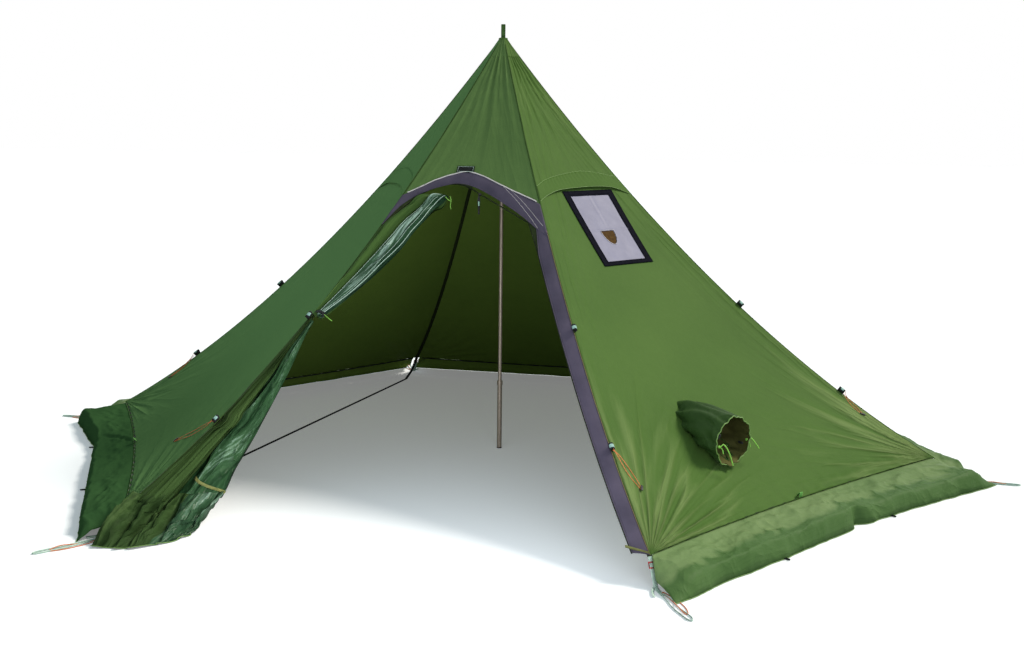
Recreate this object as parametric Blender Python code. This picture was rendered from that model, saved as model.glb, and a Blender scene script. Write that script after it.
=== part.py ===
"""Six-sided winter tent on one centre pole, pitched, with its door tied back.

Metres, +Z up. The origin is the middle of the pole's foot on the ground, and the doorway
faces -Y. Bearings are in degrees, clockwise from +Y as seen from above.
"""

import math

import bmesh
import bpy
from mathutils import Matrix, Vector

# Plan of the tent: six corners a sixth of a turn apart
CORNERS = {
    "front_right": 150.0,
    "right": 90.0,
    "back_right": 30.0,
    "back_left": 330.0,
    "left": 270.0,
    "front_left": 210.0,
}
SIDES = {"right": 120.0, "back_right": 60.0, "back": 0.0, "back_left": 300.0, "left": 240.0}
FRONT_SIDE = 180.0
HALF_SIDE = 30.0
CORNER_REACH = 2.48
CORNER_HEIGHT = 0.125
PEAK_HEIGHT = 2.42
RIDGE_SAG = 0.22
SIDE_SAG = 0.05
CLOTH = 0.002
CLOTH_ROWS = 10
CLOTH_COLUMNS = 8
GAP = 0.0003
SEWN_GAP = 0.0006
EDGE_GAP = 0.003

# Ridge seams and their guy tabs
SEAM_THICKNESS = 0.002
SEAM_PROUD = 0.001
SEAM_DEPTH = 0.012
PEAK_HOLE = 0.036
UPPER_TAB_REACH = 1.385
LOWER_TAB_REACH = 1.96
TAB_LENGTH = 0.025
TAB_HEIGHT = 0.032

# Snow skirts
SKIRT_RUN = 0.25
SKIRT_FOLD = 0.68
SKIRT_FOLD_HEIGHT = 0.085
SKIRT_END = 0.024

# Doorway arch, as reach down the front side
ARCH_PEAK_REACH = 0.646
ARCH_PEAK_SHARE = 0.57
ARCH_RIGHT_REACH = 0.785
ARCH_LEFT_REACH = 0.765
ARCH_BAND_REACH = 0.700
ARCH_BAND_SHARE = 0.62
ARCH_BAND_LEFT_REACH = 0.917
BAND_COLUMNS = 16
ZIP_RUN_TOP = (0.44, 0.742)
ZIP_RUN_FOOT = (0.10, 0.876)
SIDE_TRIM_WIDTH = 0.065
SIDE_TRIM_ROWS = 14
SIDE_TRIM_TOP_DROP = 0.012
SIDE_TRIM_TOP_RISE = 0.030
ZIP_WIDTH = 0.007
ZIP_THICKNESS = 0.0024
ZIP_GAP = 0.001

# Zip slider and pull
SLIDER_LENGTH = 0.014
SLIDER_WIDTH = 0.012
SLIDER_HEIGHT = 0.009
SLIDER_CLEARANCE = 0.0006
SLIDER_PARK = 0.004
PULL_LENGTH = 0.095
PULL_DROP = 0.0022
PULL_WIDTH = 0.016
PULL_THICKNESS = 0.003

# Stove jack, on the right side
JACK_ACROSS = -0.035
JACK_TOP_REACH = 0.735
JACK_MIDDLE_REACH = 0.915
JACK_WIDTH = 0.40
JACK_HEIGHT = 0.49
JACK_SIDE_BORDER = 0.045
JACK_END_BORDER = 0.027
JACK_HEM = 0.012
FLUE_WIDTH = 0.112
FLUE_HEIGHT = 0.095
FLUE_DROP = 0.255
FLUE_ACROSS = 0.018
FLUE_FLAP_MARGIN = 0.022

# Vent hoods, on the two sides beside the doorway
HOOD_LIFT = 0.012
HOOD_TOP_REACH = 0.642
HOOD_END_DROP = 0.12
HOOD_EDGE_REACH = 0.729
HOOD_EDGE_DROP = 0.045
HOOD_END_SHARE = 0.03
HOOD_THICKNESS = 0.0015

# Snow tunnel sleeve, on the right side
SLEEVE_REACH = 1.99
SLEEVE_ACROSS = 0.29
SLEEVE_RADIUS = 0.112
SLEEVE_MOUTH_RADIUS = 0.106
SLEEVE_LENGTH = 0.20
SLEEVE_DROOP = 0.015
SLEEVE_INSIDE = 0.006
SLEEVE_STEPS = 20
SLEEVE_CUT = 0.15
LOCK_RADIUS = 0.0075
LOCK_LENGTH = 0.020
LOCK_SETBACK = 0.012
LOCK_ANGLE = 198.0
BUTTON_RADIUS = 0.0052
BUTTON_STEM = 0.011
BUTTON_TRAVEL = 0.004
BUTTON_PROUD = 0.006

# Centre pole
LOWER_RADIUS = 0.014
LOWER_WALL = 0.0018
LOWER_LENGTH = 0.41
COLLAR_RADIUS = 0.0165
COLLAR_LENGTH = 0.028
UPPER_RADIUS = 0.0105
UPPER_WALL = 0.0012
UPPER_FOOT = 0.33
FOOT_THICKNESS = 0.006
FOOT_PLUG = 0.024
EXPANDER_LENGTH = 0.045
PLUG_LENGTH = 0.02
TIP_RADIUS = 0.0128
TIP_LENGTH = 0.027
HOLE_RADIUS = 0.003
HOLE_HEIGHTS = (0.276, 0.340)

# Peak
CUP_RADIUS = 0.026
CUP_BORE = 0.0165
CUP_TOP = PEAK_HEIGHT - 0.020
CUP_LENGTH = 0.055
CUP_ROOF = 0.0075
CAP_FOOT_REACH = 0.10
CAP_LIFT = 0.0022
CAP_THICKNESS = 0.002
LOOP_HEIGHT = 0.075
LOOP_GAP = 0.011
WEB_THICKNESS = 0.0016
LOOP_WIDTH = 0.022

# Corner webbing, its buckles and the strap across the floor
STRAP_WIDTH = 0.020
STRAP_START_GAP = 0.0008
STRAP_DROP_RUN = 0.068
STRAP_DROP_HEIGHT = 0.012
STRAP_GROUND_RUN = 0.135
STRAP_END_RUN = 0.46
EYE_LENGTH = 0.036
EYE_WIDTH = 0.010
EYE_MARGIN = 0.006
BUCKLE_WIDTH = 0.031
BUCKLE_HEIGHT = 0.030
BUCKLE_PLATE = 0.0026
BUCKLE_RAIL = 0.0042
BUCKLE_BAR = 0.005
BUCKLE_SLACK = 0.0006
BUCKLE_SHARE = 0.30
FLOOR_STRAP_INSET = 0.025
FLOOR_STRAP_FALL = 0.35
FLOOR_STRAP_BENDS = ((-1.238, 1.90), (-1.368, -0.72), (-1.345, -1.70))

# Door, rolled and tied to the front left ridge
ROLL_TOP_REACH = 0.80
ROLL_FOOT_REACH = 1.385
ROLL_TOP_WIDTH = 0.19
ROLL_FOOT_WIDTH = 0.046
ROLL_TOP_DEPTH = 0.050
ROLL_FOOT_DEPTH = 0.040
ROLL_TUCK = 0.25
ROLL_FREE = 0.5
ROLL_CORNERS = 16
ROLL_TAPER = 0.8
TIE_REACH = 1.365
TIE_WIDTH = 0.014
TIE_THICKNESS = 0.0016
TIE_SLACK = 0.0005
FLAP_TOP_REACH = 1.425
FLAP_FOOT_REACH = CORNER_REACH - 0.11
FLAP_TOP_THICKNESS = 0.005
FLAP_FOOT_THICKNESS = 0.036
FLAP_CLEARANCE = 0.002
FLAP_FLOOR_CLEARANCE = 0.012
FLAP_LANDING_REACH = 2.07
FLAP_START_DROP = 0.05
FLAP_LEAST_DROP = 0.03
FLAP_SPREAD = 0.20
FLAP_SPREAD_REACH = 1.93
FLAP_SPREAD_RUN = 0.30

# Guylines: the side that each lies on, and how far down and how far in it lies from its tab
LINE_RADIUS = 0.0015
# Places on a guyline's route: share of its drop, share of its way in from the ridge.
LINE_LEAVE = (0.25, 0.12)
LINE_DOWN = (0.62, 0.50)
LINE_BEFORE_TURN = (0.94, 0.88)
LINE_TURN = (1.02, 0.96)
LINE_AFTER_TURN = (0.92, 0.90)
LINE_UP = (0.58, 0.62)
LINE_ARRIVE = (0.22, 0.26)
LINE_POINTS = 40
LINE_SPREAD = 0.012
LINE_CLEARANCE = 0.001
LINE_EDGE = 0.012
LINE_STEP = 0.012
GUYLINES = {
    "front_right": ("right", 0.22, 0.10),
    "right": ("right", 0.16, 0.045),
    "back_right": ("back_right", 0.20, 0.06),
    "back_left": ("back_left", 0.20, 0.06),
    "left": ("left", 0.21, 0.075),
    "front_left": ("left", 0.26, 0.50),
}

CUTTER_LIFT = 0.006
CURVE_STEPS = 24
FULL_TURN = 2 * math.pi


def heading(degrees):
    """Level unit vector along a bearing."""
    turn = math.radians(degrees)
    return Vector((math.sin(turn), math.cos(turn), 0.0))


def curve_height(reach):
    """Height of a ridge: a straight fall from the peak to the corner, less a shallow sag."""
    share = reach / CORNER_REACH
    straight = PEAK_HEIGHT - (PEAK_HEIGHT - CORNER_HEIGHT) * share
    return straight - 4 * RIDGE_SAG * share * (1 - share)


def cloth_row(index):
    """Reach of a row of cloth facets, counted from the peak."""
    return PEAK_HOLE + (CORNER_REACH - PEAK_HOLE) * index / CLOTH_ROWS


def ridge_height(reach):
    """Height of a ridge on the straight facets between its rows."""
    row = (reach - PEAK_HOLE) / (CORNER_REACH - PEAK_HOLE) * CLOTH_ROWS
    row = min(max(math.floor(row), 0), CLOTH_ROWS - 1)
    above, below = cloth_row(row), cloth_row(row + 1)
    along = (reach - above) / (below - above)
    return curve_height(above) + (curve_height(below) - curve_height(above)) * along


def side_sag(share):
    """Inward sag across a side as a share of its depth, straight between columns."""
    column = min(max(math.floor(share * CLOTH_COLUMNS), 0), CLOTH_COLUMNS - 1)
    left, right = column / CLOTH_COLUMNS, (column + 1) / CLOTH_COLUMNS
    along = (share - left) / (right - left)
    deep = [4 * edge * (1 - edge) for edge in (left, right)]
    return deep[0] + (deep[1] - deep[0]) * along


def ridge_slope(reach):
    share = reach / CORNER_REACH
    return (CORNER_HEIGHT - PEAK_HEIGHT - 4 * RIDGE_SAG * (1 - 2 * share)) / CORNER_REACH


def ridge_point(degrees, reach):
    return heading(degrees) * reach + Vector((0, 0, ridge_height(reach)))


def ridge_tangent(degrees, reach):
    return (heading(degrees) + Vector((0, 0, ridge_slope(reach)))).normalized()


def ridge_normal(degrees, reach):
    return (heading(degrees) * -ridge_slope(reach) + Vector((0, 0, 1))).normalized()


def skin_point(side, reach, share):
    """Point of a cloth side: share 0 is its ridge at the lower bearing, 1 at the higher."""
    first = ridge_point(side - HALF_SIDE, reach)
    second = ridge_point(side + HALF_SIDE, reach)
    sag = SIDE_SAG * side_sag(share) * reach / CORNER_REACH
    return first.lerp(second, share) - heading(side) * sag


def skin_lean(side, reach, share):
    """Outward direction that stays in the ridge's own plane along either ridge."""
    first = ridge_normal(side - HALF_SIDE, reach)
    second = ridge_normal(side + HALF_SIDE, reach)
    return first.lerp(second, share)


def skin_at(side, across, reach, lift=0.0):
    """Point at a distance across from the side's middle line, lifted off the cloth."""
    share = 0.5 + across / reach
    lean = skin_lean(side, reach, share).normalized()
    return skin_point(side, reach, share) + lean * lift


def slope_per_reach(reach):
    """Length down the middle of a side for each unit of reach."""
    return math.hypot(math.cos(math.radians(HALF_SIDE)), ridge_slope(reach))


def edge_share(reach, setback):
    """Share at which a side's cloth stands this far from the ridge's plane."""
    return setback / (reach * math.cos(math.radians(HALF_SIDE)))


def spread(count):
    return [step / count for step in range(count + 1)]


def finish(name, colour, roughness, metallic=0.0):
    """Plain Principled material, made once for each name."""
    material = bpy.data.materials.get(name)
    if material is None:
        material = bpy.data.materials.new(name)
        material.use_nodes = True
        shader = material.node_tree.nodes["Principled BSDF"]
        shader.inputs["Base Color"].default_value = (*colour, 1.0)
        shader.inputs["Roughness"].default_value = roughness
        shader.inputs["Metallic"].default_value = metallic
        material.diffuse_color = (*colour, 1.0)
    return material


def green_cloth():
    return finish("green cloth", (0.13, 0.22, 0.055), 0.55)


def grey_trim():
    return finish("grey trim cloth", (0.115, 0.105, 0.165), 0.6)


def black_web():
    return finish("black webbing", (0.02, 0.021, 0.028), 0.8)


def pale_web():
    return finish("pale green webbing", (0.55, 0.68, 0.6), 0.75)


def orange_line():
    return finish("orange line", (0.85, 0.23, 0.07), 0.6)


def pole_metal():
    return finish("anodised pole", (0.33, 0.27, 0.22), 0.35, 0.9)


def black_plastic():
    return finish("black plastic", (0.025, 0.025, 0.028), 0.45)


def add_object(name, mesh_data, material):
    mesh = bpy.data.meshes.new(name)
    bmesh.ops.recalc_face_normals(mesh_data, faces=mesh_data.faces)
    mesh_data.to_mesh(mesh)
    mesh_data.free()
    mesh.shade_smooth()
    mesh.set_sharp_from_angle(angle=math.radians(35))
    thing = bpy.data.objects.new(name, mesh)
    thing.data.materials.append(material)
    bpy.context.scene.collection.objects.link(thing)
    return thing


def closed_sheet(name, columns, rows, outer, inner, material, is_hole=None):
    """Sheet over a grid of shares, thickened from its outer face to its inner face."""
    sheet = bmesh.new()
    bmesh.ops.create_grid(
        sheet, x_segments=len(columns) - 1, y_segments=len(rows) - 1, size=0.5
    )
    if is_hole:
        holes = [
            face
            for face in sheet.faces
            if is_hole(
                (face.calc_center_median().x + 0.5) * (len(columns) - 1),
                (face.calc_center_median().y + 0.5) * (len(rows) - 1),
            )
        ]
        bmesh.ops.delete(sheet, geom=holes, context="FACES")
    front = list(sheet.verts)
    grown = bmesh.ops.extrude_face_region(sheet, geom=sheet.faces[:], use_keep_orig=True)
    back = [item for item in grown["geom"] if isinstance(item, bmesh.types.BMVert)]
    for points, place in ((front, outer), (back, inner)):
        for point in points:
            column = columns[round((point.co.x + 0.5) * (len(columns) - 1))]
            row = rows[round((point.co.y + 0.5) * (len(rows) - 1))]
            point.co = place(column, row)
    return add_object(name, sheet, material)


def swept(name, sections, material):
    """Solid drawn through a list of outlines, each with the same number of corners."""
    body = bmesh.new()
    face = body.faces.new([body.verts.new(corner) for corner in sections[0]])
    for index, section in enumerate(sections[1:]):
        last = face
        grown = bmesh.ops.extrude_face_region(body, geom=[last], use_keep_orig=True)
        face = next(item for item in grown["geom"] if isinstance(item, bmesh.types.BMFace))
        if index:
            bmesh.ops.delete(body, geom=[last], context="FACES_ONLY")
        for point, corner in zip(face.verts, section):
            point.co = corner
    return add_object(name, body, material)


def turned(name, profile, segments, material, axis=((0, 0, 0), (0, 0, 1))):
    """Closed outline of (radius, height) pairs, spun about an axis."""
    foot, along = Vector(axis[0]), Vector(axis[1]).normalized()
    body = bmesh.new()
    points = [body.verts.new((radius, 0, height)) for radius, height in profile]
    edges = [body.edges.new(pair) for pair in zip(points, points[1:])]
    if profile[0][0] > 0 or profile[-1][0] > 0:
        edges.append(body.edges.new((points[-1], points[0])))
    bmesh.ops.spin(
        body,
        geom=points + edges,
        cent=(0, 0, 0),
        axis=(0, 0, 1),
        angle=FULL_TURN,
        steps=segments,
        use_merge=True,
    )
    bmesh.ops.remove_doubles(body, verts=body.verts, dist=1e-5)
    place = Matrix.Translation(foot) @ along.to_track_quat("Z", "Y").to_matrix().to_4x4()
    bmesh.ops.transform(body, matrix=place, verts=body.verts)
    return add_object(name, body, material)


def cutter(name, outline, depth_vector):
    """Hidden prism that a Boolean takes away."""
    body = bmesh.new()
    face = body.faces.new([body.verts.new(corner) for corner in outline])
    grown = bmesh.ops.extrude_face_region(body, geom=[face], use_keep_orig=True)
    moved = [item for item in grown["geom"] if isinstance(item, bmesh.types.BMVert)]
    bmesh.ops.translate(body, vec=depth_vector, verts=moved)
    tool = add_object(name, body, finish("cutter", (1, 0, 0), 0.5))
    tool.hide_render = True
    tool.display_type = "WIRE"
    return tool


def cut(thing, tool):
    modifier = thing.modifiers.new(tool.name, "BOOLEAN")
    modifier.operation = "DIFFERENCE"
    modifier.solver = "EXACT"
    modifier.object = tool


def put_origin(thing, point):
    """Moves an object's origin onto its joint, with its shape left in place."""
    thing.data.transform(Matrix.Translation(-Vector(point)))
    thing.location = point


# Cloth sides

def side_share(reach, column):
    setback = edge_share(reach, SEAM_THICKNESS / 2 + GAP)
    return setback + (1 - 2 * setback) * column


def make_side(name, side, columns, rows, foot_reach):
    """Cloth from the peak down to a foot line, which may follow an arch."""
    def place(column, row, depth):
        foot = foot_reach(side_share(ARCH_LEFT_REACH, column))
        reach = PEAK_HOLE + (foot - PEAK_HOLE) * row
        share = side_share(reach, column)
        return skin_point(side, reach, share) - skin_lean(side, reach, share) * depth

    return closed_sheet(
        name,
        spread(columns),
        spread(rows),
        lambda column, row: place(column, row, 0.0),
        lambda column, row: place(column, row, CLOTH),
        green_cloth(),
    )


def fold_height(share):
    """Height of the skirt's fold: on a straight fall at the corners, and slack between them."""
    straight = CORNER_HEIGHT * (1 - SKIRT_FOLD)
    return straight + (SKIRT_FOLD_HEIGHT - straight) * (1 - (2 * share - 1) ** 4)


def make_skirt(name, side):
    """Strip sewn to the hem, that stands out from it and then falls to the ground."""
    hem_reach = CORNER_REACH + GAP

    def place(column, row, depth):
        end = edge_share(hem_reach, SKIRT_END)
        share = end + (1 - 2 * end) * column
        hem = skin_point(side, hem_reach, share)
        if row == 0:
            return hem - skin_lean(side, hem_reach, share) * depth
        edge = (heading(side - HALF_SIDE) * (CORNER_REACH + SKIRT_RUN)).lerp(
            heading(side + HALF_SIDE) * (CORNER_REACH + SKIRT_RUN), share
        )
        spot = hem.lerp(edge, row)
        spot.z = max(CLOTH, fold_height(share) * (1 - row) / (1 - SKIRT_FOLD)) - depth
        return spot

    return closed_sheet(
        name,
        spread(CLOTH_COLUMNS),
        [0.0, SKIRT_FOLD, 1.0],
        lambda column, row: place(column, row, 0.0),
        lambda column, row: place(column, row, CLOTH),
        green_cloth(),
    )


# Ridge seams with guy tabs

def seam_stations():
    """Reach and outward height of a seam, stepped up at each tab."""
    stations = [(cloth_row(row), SEAM_PROUD) for row in range(CLOTH_ROWS + 1)]
    for middle in (UPPER_TAB_REACH, LOWER_TAB_REACH):
        half = TAB_LENGTH / 2 / math.hypot(1, ridge_slope(middle))
        stations = [item for item in stations if abs(item[0] - middle) > 2 * half]
        for edge, height in ((-half, TAB_HEIGHT), (half, TAB_HEIGHT)):
            stations.append((middle + edge, height))
            stations.append((middle + edge * 1.04, SEAM_PROUD))
    return sorted(stations)


def make_seam(name, degrees):
    sideways = heading(degrees + 90) * (SEAM_THICKNESS / 2)
    sections = []
    for reach, height in seam_stations():
        middle = ridge_point(degrees, reach)
        normal = ridge_normal(degrees, reach)
        top = middle + normal * height
        foot = middle - normal * SEAM_DEPTH
        sections.append((top - sideways, top + sideways, foot + sideways, foot - sideways))
    return swept(name, sections, black_web())


# Doorway: arch band, side band, zip

def arch_reach(share):
    if share < ARCH_PEAK_SHARE:
        along = (ARCH_PEAK_SHARE - share) / ARCH_PEAK_SHARE
        return ARCH_PEAK_REACH + (ARCH_RIGHT_REACH - ARCH_PEAK_REACH) * along**1.35
    along = (share - ARCH_PEAK_SHARE) / (1 - ARCH_PEAK_SHARE)
    return ARCH_PEAK_REACH + (ARCH_LEFT_REACH - ARCH_PEAK_REACH) * along**1.6


def zip_run_ends():
    (top_share, top_reach), (foot_share, foot_reach) = ZIP_RUN_TOP, ZIP_RUN_FOOT
    return (
        skin_point(FRONT_SIDE, top_reach, top_share),
        skin_point(FRONT_SIDE, foot_reach, foot_share),
    )


def band_edge(share):
    """Lower edge of the arch band: straight on the right of the peak, curved on its left."""
    top, foot = zip_run_ends()
    top_share, foot_share = ZIP_RUN_TOP[0], ZIP_RUN_FOOT[0]
    if share <= top_share:
        return top.lerp(foot, (top_share - share) / (top_share - foot_share))
    if share <= ARCH_BAND_SHARE:
        along = (ARCH_BAND_SHARE - share) / (ARCH_BAND_SHARE - top_share)
        reach = ARCH_BAND_REACH + (ZIP_RUN_TOP[1] - ARCH_BAND_REACH) * along**1.6
        return skin_point(FRONT_SIDE, reach, share)
    along = (share - ARCH_BAND_SHARE) / (1 - ARCH_BAND_SHARE)
    reach = ARCH_BAND_REACH + (ARCH_BAND_LEFT_REACH - ARCH_BAND_REACH) * along**3.5
    return skin_point(FRONT_SIDE, reach, share)


def band_shares():
    return [side_share(ARCH_LEFT_REACH, column) for column in spread(BAND_COLUMNS)]


def make_arch_trim():
    shares = band_shares()

    def place(column, row, depth):
        share = shares[round(column * BAND_COLUMNS)]
        reach = arch_reach(share) + GAP
        upper = skin_point(FRONT_SIDE, reach, share)
        point = upper.lerp(band_edge(share), row)
        return point - skin_lean(FRONT_SIDE, reach, share) * depth

    return closed_sheet(
        "arch_trim",
        spread(BAND_COLUMNS),
        spread(2),
        lambda column, row: place(column, row, 0.0),
        lambda column, row: place(column, row, CLOTH),
        grey_trim(),
    )


def side_band_edge(reach):
    share = edge_share(reach, SEAM_THICKNESS / 2 + GAP + SIDE_TRIM_WIDTH)
    return skin_point(FRONT_SIDE, reach, share)


def side_band_reach(column, row):
    """Reach down the side band, whose top edge lies under the arch band's lower edge."""
    top = ZIP_RUN_FOOT[1] + SIDE_TRIM_TOP_DROP + SIDE_TRIM_TOP_RISE * (1 - column)
    return top + (CORNER_REACH - top) * row


def make_side_trim():
    def place(column, row, depth):
        reach = side_band_reach(column, row)
        near = edge_share(reach, SEAM_THICKNESS / 2 + GAP)
        far = edge_share(reach, SEAM_THICKNESS / 2 + GAP + SIDE_TRIM_WIDTH)
        share = near + (far - near) * column
        return skin_point(FRONT_SIDE, reach, share) - skin_lean(FRONT_SIDE, reach, share) * depth

    return closed_sheet(
        "side_trim",
        spread(1),
        spread(SIDE_TRIM_ROWS),
        lambda column, row: place(column, row, 0.0),
        lambda column, row: place(column, row, CLOTH),
        grey_trim(),
    )


def zip_path():
    """Middle of the zip: along the arch from the left, then down the side band."""
    path = []
    for share in band_shares()[::-1]:
        if share > ZIP_RUN_TOP[0] + 0.02:
            path.append(band_edge(share))
    top, foot = zip_run_ends()
    path += [top, foot]
    path += [side_band_edge(side_band_reach(1, row)) for row in spread(SIDE_TRIM_ROWS)[1:]]
    return path


def zip_frames():
    """Path point, direction along it, direction into the doorway, and direction out of the tent."""
    path = zip_path()
    frames = []
    for index, point in enumerate(path):
        before = path[max(index - 1, 0)]
        after = path[min(index + 1, len(path) - 1)]
        along = (after - before).normalized()
        out = skin_lean(FRONT_SIDE, 1.0, 0.5).normalized()
        inward = along.cross(out).normalized()
        if inward.z > 0 and index < len(path) / 2 or inward.x > 0 and index >= len(path) / 2:
            inward = -inward
        out = inward.cross(along).normalized()
        if out.y > 0:
            out = -out
        frames.append((point, along, inward, out))
    return frames


def make_zip_track():
    sections = []
    for point, along, inward, out in zip_frames():
        near = point + inward * ZIP_GAP
        far = point + inward * (ZIP_GAP + ZIP_WIDTH)
        back = -out * ZIP_THICKNESS
        sections.append((near, far, far + back, near + back))
    return swept("zip_track", sections, black_plastic())


def slider_frame():
    """Frame on the straight run where the slider is parked."""
    top, foot = zip_run_ends()
    along = (foot - top).normalized()
    out = skin_lean(FRONT_SIDE, 0.8, 0.3).normalized()
    inward = along.cross(out).normalized()
    if inward.z > 0:
        inward = -inward
    out = inward.cross(along).normalized()
    if out.y > 0:
        out = -out
    return top + along * (SLIDER_LENGTH / 2 + SLIDER_PARK), along, inward, out


def make_slider():
    """Channel that wraps the zip's teeth, with a lug for the pull."""
    seat, along, inward, out = slider_frame()
    near = ZIP_GAP + SLIDER_CLEARANCE
    low = -ZIP_THICKNESS - SLIDER_CLEARANCE
    wall = (SLIDER_HEIGHT - ZIP_THICKNESS - 2 * SLIDER_CLEARANCE) / 2
    outline = (
        (near, SLIDER_CLEARANCE),
        (near + ZIP_WIDTH, SLIDER_CLEARANCE),
        (near + ZIP_WIDTH, low),
        (near, low),
        (near, low - wall),
        (near + SLIDER_WIDTH, low - wall),
        (near + SLIDER_WIDTH, SLIDER_CLEARANCE + wall),
        (near, SLIDER_CLEARANCE + wall),
    )
    sections = []
    for end in (-0.5, 0.5):
        middle = seat + along * (SLIDER_LENGTH * end)
        sections.append([middle + inward * across + out * height for across, height in outline])
    slider = swept("zip_slider", sections, black_plastic())
    put_origin(slider, seat)
    return slider


def pull_hinge():
    seat, _, inward, _ = slider_frame()
    return seat + inward * (ZIP_GAP + SLIDER_CLEARANCE + SLIDER_WIDTH + PULL_DROP)


def make_pull():
    """Cord pull that hangs straight down from the slider."""
    hinge = pull_hinge()
    wide = Vector((1, 0, 0)) * (PULL_WIDTH / 2)
    sections = []
    for drop, width in ((0.0, 0.3), (0.018, 0.8), (0.034, 1.0), (0.06, 0.7), (PULL_LENGTH, 0.55)):
        middle = hinge - Vector((0, 0, drop))
        deep = Vector((0, 1, 0)) * (PULL_THICKNESS / 2 * (1.0 if drop else 0.2))
        sections.append(
            (
                middle - wide * width - deep,
                middle + wide * width - deep,
                middle + wide * width + deep,
                middle - wide * width + deep,
            )
        )
    pull = swept("zip_pull", sections, black_web())
    put_origin(pull, hinge)
    return pull


# Stove jack

def jack_reach(drop):
    """Reach at a distance down the cloth from the jack's top edge."""
    return JACK_TOP_REACH + drop / slope_per_reach(JACK_MIDDLE_REACH)


def jack_point(across, drop, lift):
    return skin_at(SIDES["right"], JACK_ACROSS + across, jack_reach(drop), lift)


def jack_outline(inset_side, inset_end, lift):
    half = JACK_WIDTH / 2 - inset_side
    corners = (
        (half, inset_end),
        (-half, inset_end),
        (-half, JACK_HEIGHT - inset_end),
        (half, JACK_HEIGHT - inset_end),
    )
    return [jack_point(across, drop, lift) for across, drop in corners]


def cut_through(thing, name, outline):
    """Cuts an outline that lies above the cloth straight down through it."""
    first, second, third = (Vector(outline[index]) for index in (0, 1, 2))
    down = (second - first).cross(third - second).normalized()
    side_out = heading(SIDES["right"])
    if down.dot(side_out) > 0:
        down = -down
    cut(thing, cutter(name, outline, down * 4 * CUTTER_LIFT))


def make_jack():
    """Black frame sewn on the side, pale cloth in its hole, and a flap behind the flue opening."""
    half = JACK_WIDTH / 2
    across_marks = [-half, -half + JACK_SIDE_BORDER, 0.0, half - JACK_SIDE_BORDER, half]
    drop_marks = [0.0]
    drop_marks += [JACK_END_BORDER + (JACK_HEIGHT - 2 * JACK_END_BORDER) * part for part in spread(3)]
    drop_marks += [JACK_HEIGHT]
    closed_sheet(
        "stove_jack_frame",
        across_marks,
        drop_marks,
        lambda across, drop: jack_point(across, drop, SEWN_GAP + CLOTH),
        lambda across, drop: jack_point(across, drop, SEWN_GAP),
        black_web(),
        lambda column, row: 1 < column < 3 and 1 < row < 4,
    )
    hem_side, hem_end = JACK_SIDE_BORDER - JACK_HEM, JACK_END_BORDER - JACK_HEM
    half_cloth = half - hem_side - EDGE_GAP
    cloth = closed_sheet(
        "stove_jack_cloth",
        [half_cloth * (2 * part - 1) for part in spread(4)],
        [
            hem_end + EDGE_GAP + (JACK_HEIGHT - 2 * hem_end - 2 * EDGE_GAP) * part
            for part in spread(4)
        ],
        lambda across, drop: jack_point(across, drop, 0.0),
        lambda across, drop: jack_point(across, drop, -CLOTH),
        finish("silicone cloth", (0.42, 0.4, 0.52), 0.5),
    )
    flue = [(FLUE_WIDTH / 2, 0.0), (-FLUE_WIDTH / 2, 0.0)]
    for step in range(1, 10):
        turn = math.pi * step / 10
        flue.append((-FLUE_WIDTH / 2 * math.cos(turn), FLUE_HEIGHT * math.sin(turn)))
    outline = [jack_point(FLUE_ACROSS + across, FLUE_DROP + drop, CUTTER_LIFT) for across, drop in flue]
    cut_through(cloth, "flue_cutter", outline)
    wide = FLUE_WIDTH / 2 + FLUE_FLAP_MARGIN
    closed_sheet(
        "stove_jack_flap",
        [FLUE_ACROSS - wide, FLUE_ACROSS, FLUE_ACROSS + wide],
        [
            FLUE_DROP - FLUE_FLAP_MARGIN,
            FLUE_DROP + FLUE_HEIGHT / 2,
            FLUE_DROP + FLUE_HEIGHT + FLUE_FLAP_MARGIN,
        ],
        lambda across, drop: jack_point(across, drop, -CLOTH - SEWN_GAP),
        lambda across, drop: jack_point(across, drop, -2 * CLOTH - SEWN_GAP),
        finish("brown flap cloth", (0.09, 0.05, 0.015), 0.8),
    )


# Vent hoods

def make_hood(name, side):
    def place(column, row, depth):
        share = HOOD_END_SHARE + (1 - 2 * HOOD_END_SHARE) * column
        away = abs(2 * column - 1)
        top = HOOD_TOP_REACH + HOOD_END_DROP * away**2
        edge = HOOD_EDGE_REACH + HOOD_EDGE_DROP * away**2
        reach = top + (edge - top) * row
        lift = SEWN_GAP + HOOD_THICKNESS + HOOD_LIFT * row * (1 - away**2)
        lean = skin_lean(side, reach, share).normalized()
        return skin_point(side, reach, share) + lean * (lift - depth)

    return closed_sheet(
        name,
        spread(10),
        spread(2),
        lambda column, row: place(column, row, 0.0),
        lambda column, row: place(column, row, HOOD_THICKNESS),
        green_cloth(),
    )


# Tunnel sleeve with its cord lock

def sleeve_axis():
    base = skin_at(SIDES["right"], SLEEVE_ACROSS, SLEEVE_REACH)
    mouth = base + heading(SIDES["right"]) * SLEEVE_LENGTH - Vector((0, 0, SLEEVE_DROOP))
    return base, mouth


def sleeve_frame():
    base, mouth = sleeve_axis()
    along = (mouth - base).normalized()
    level = heading(SIDES["right"] - 90)
    return base, along, level, level.cross(along).normalized()


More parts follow.
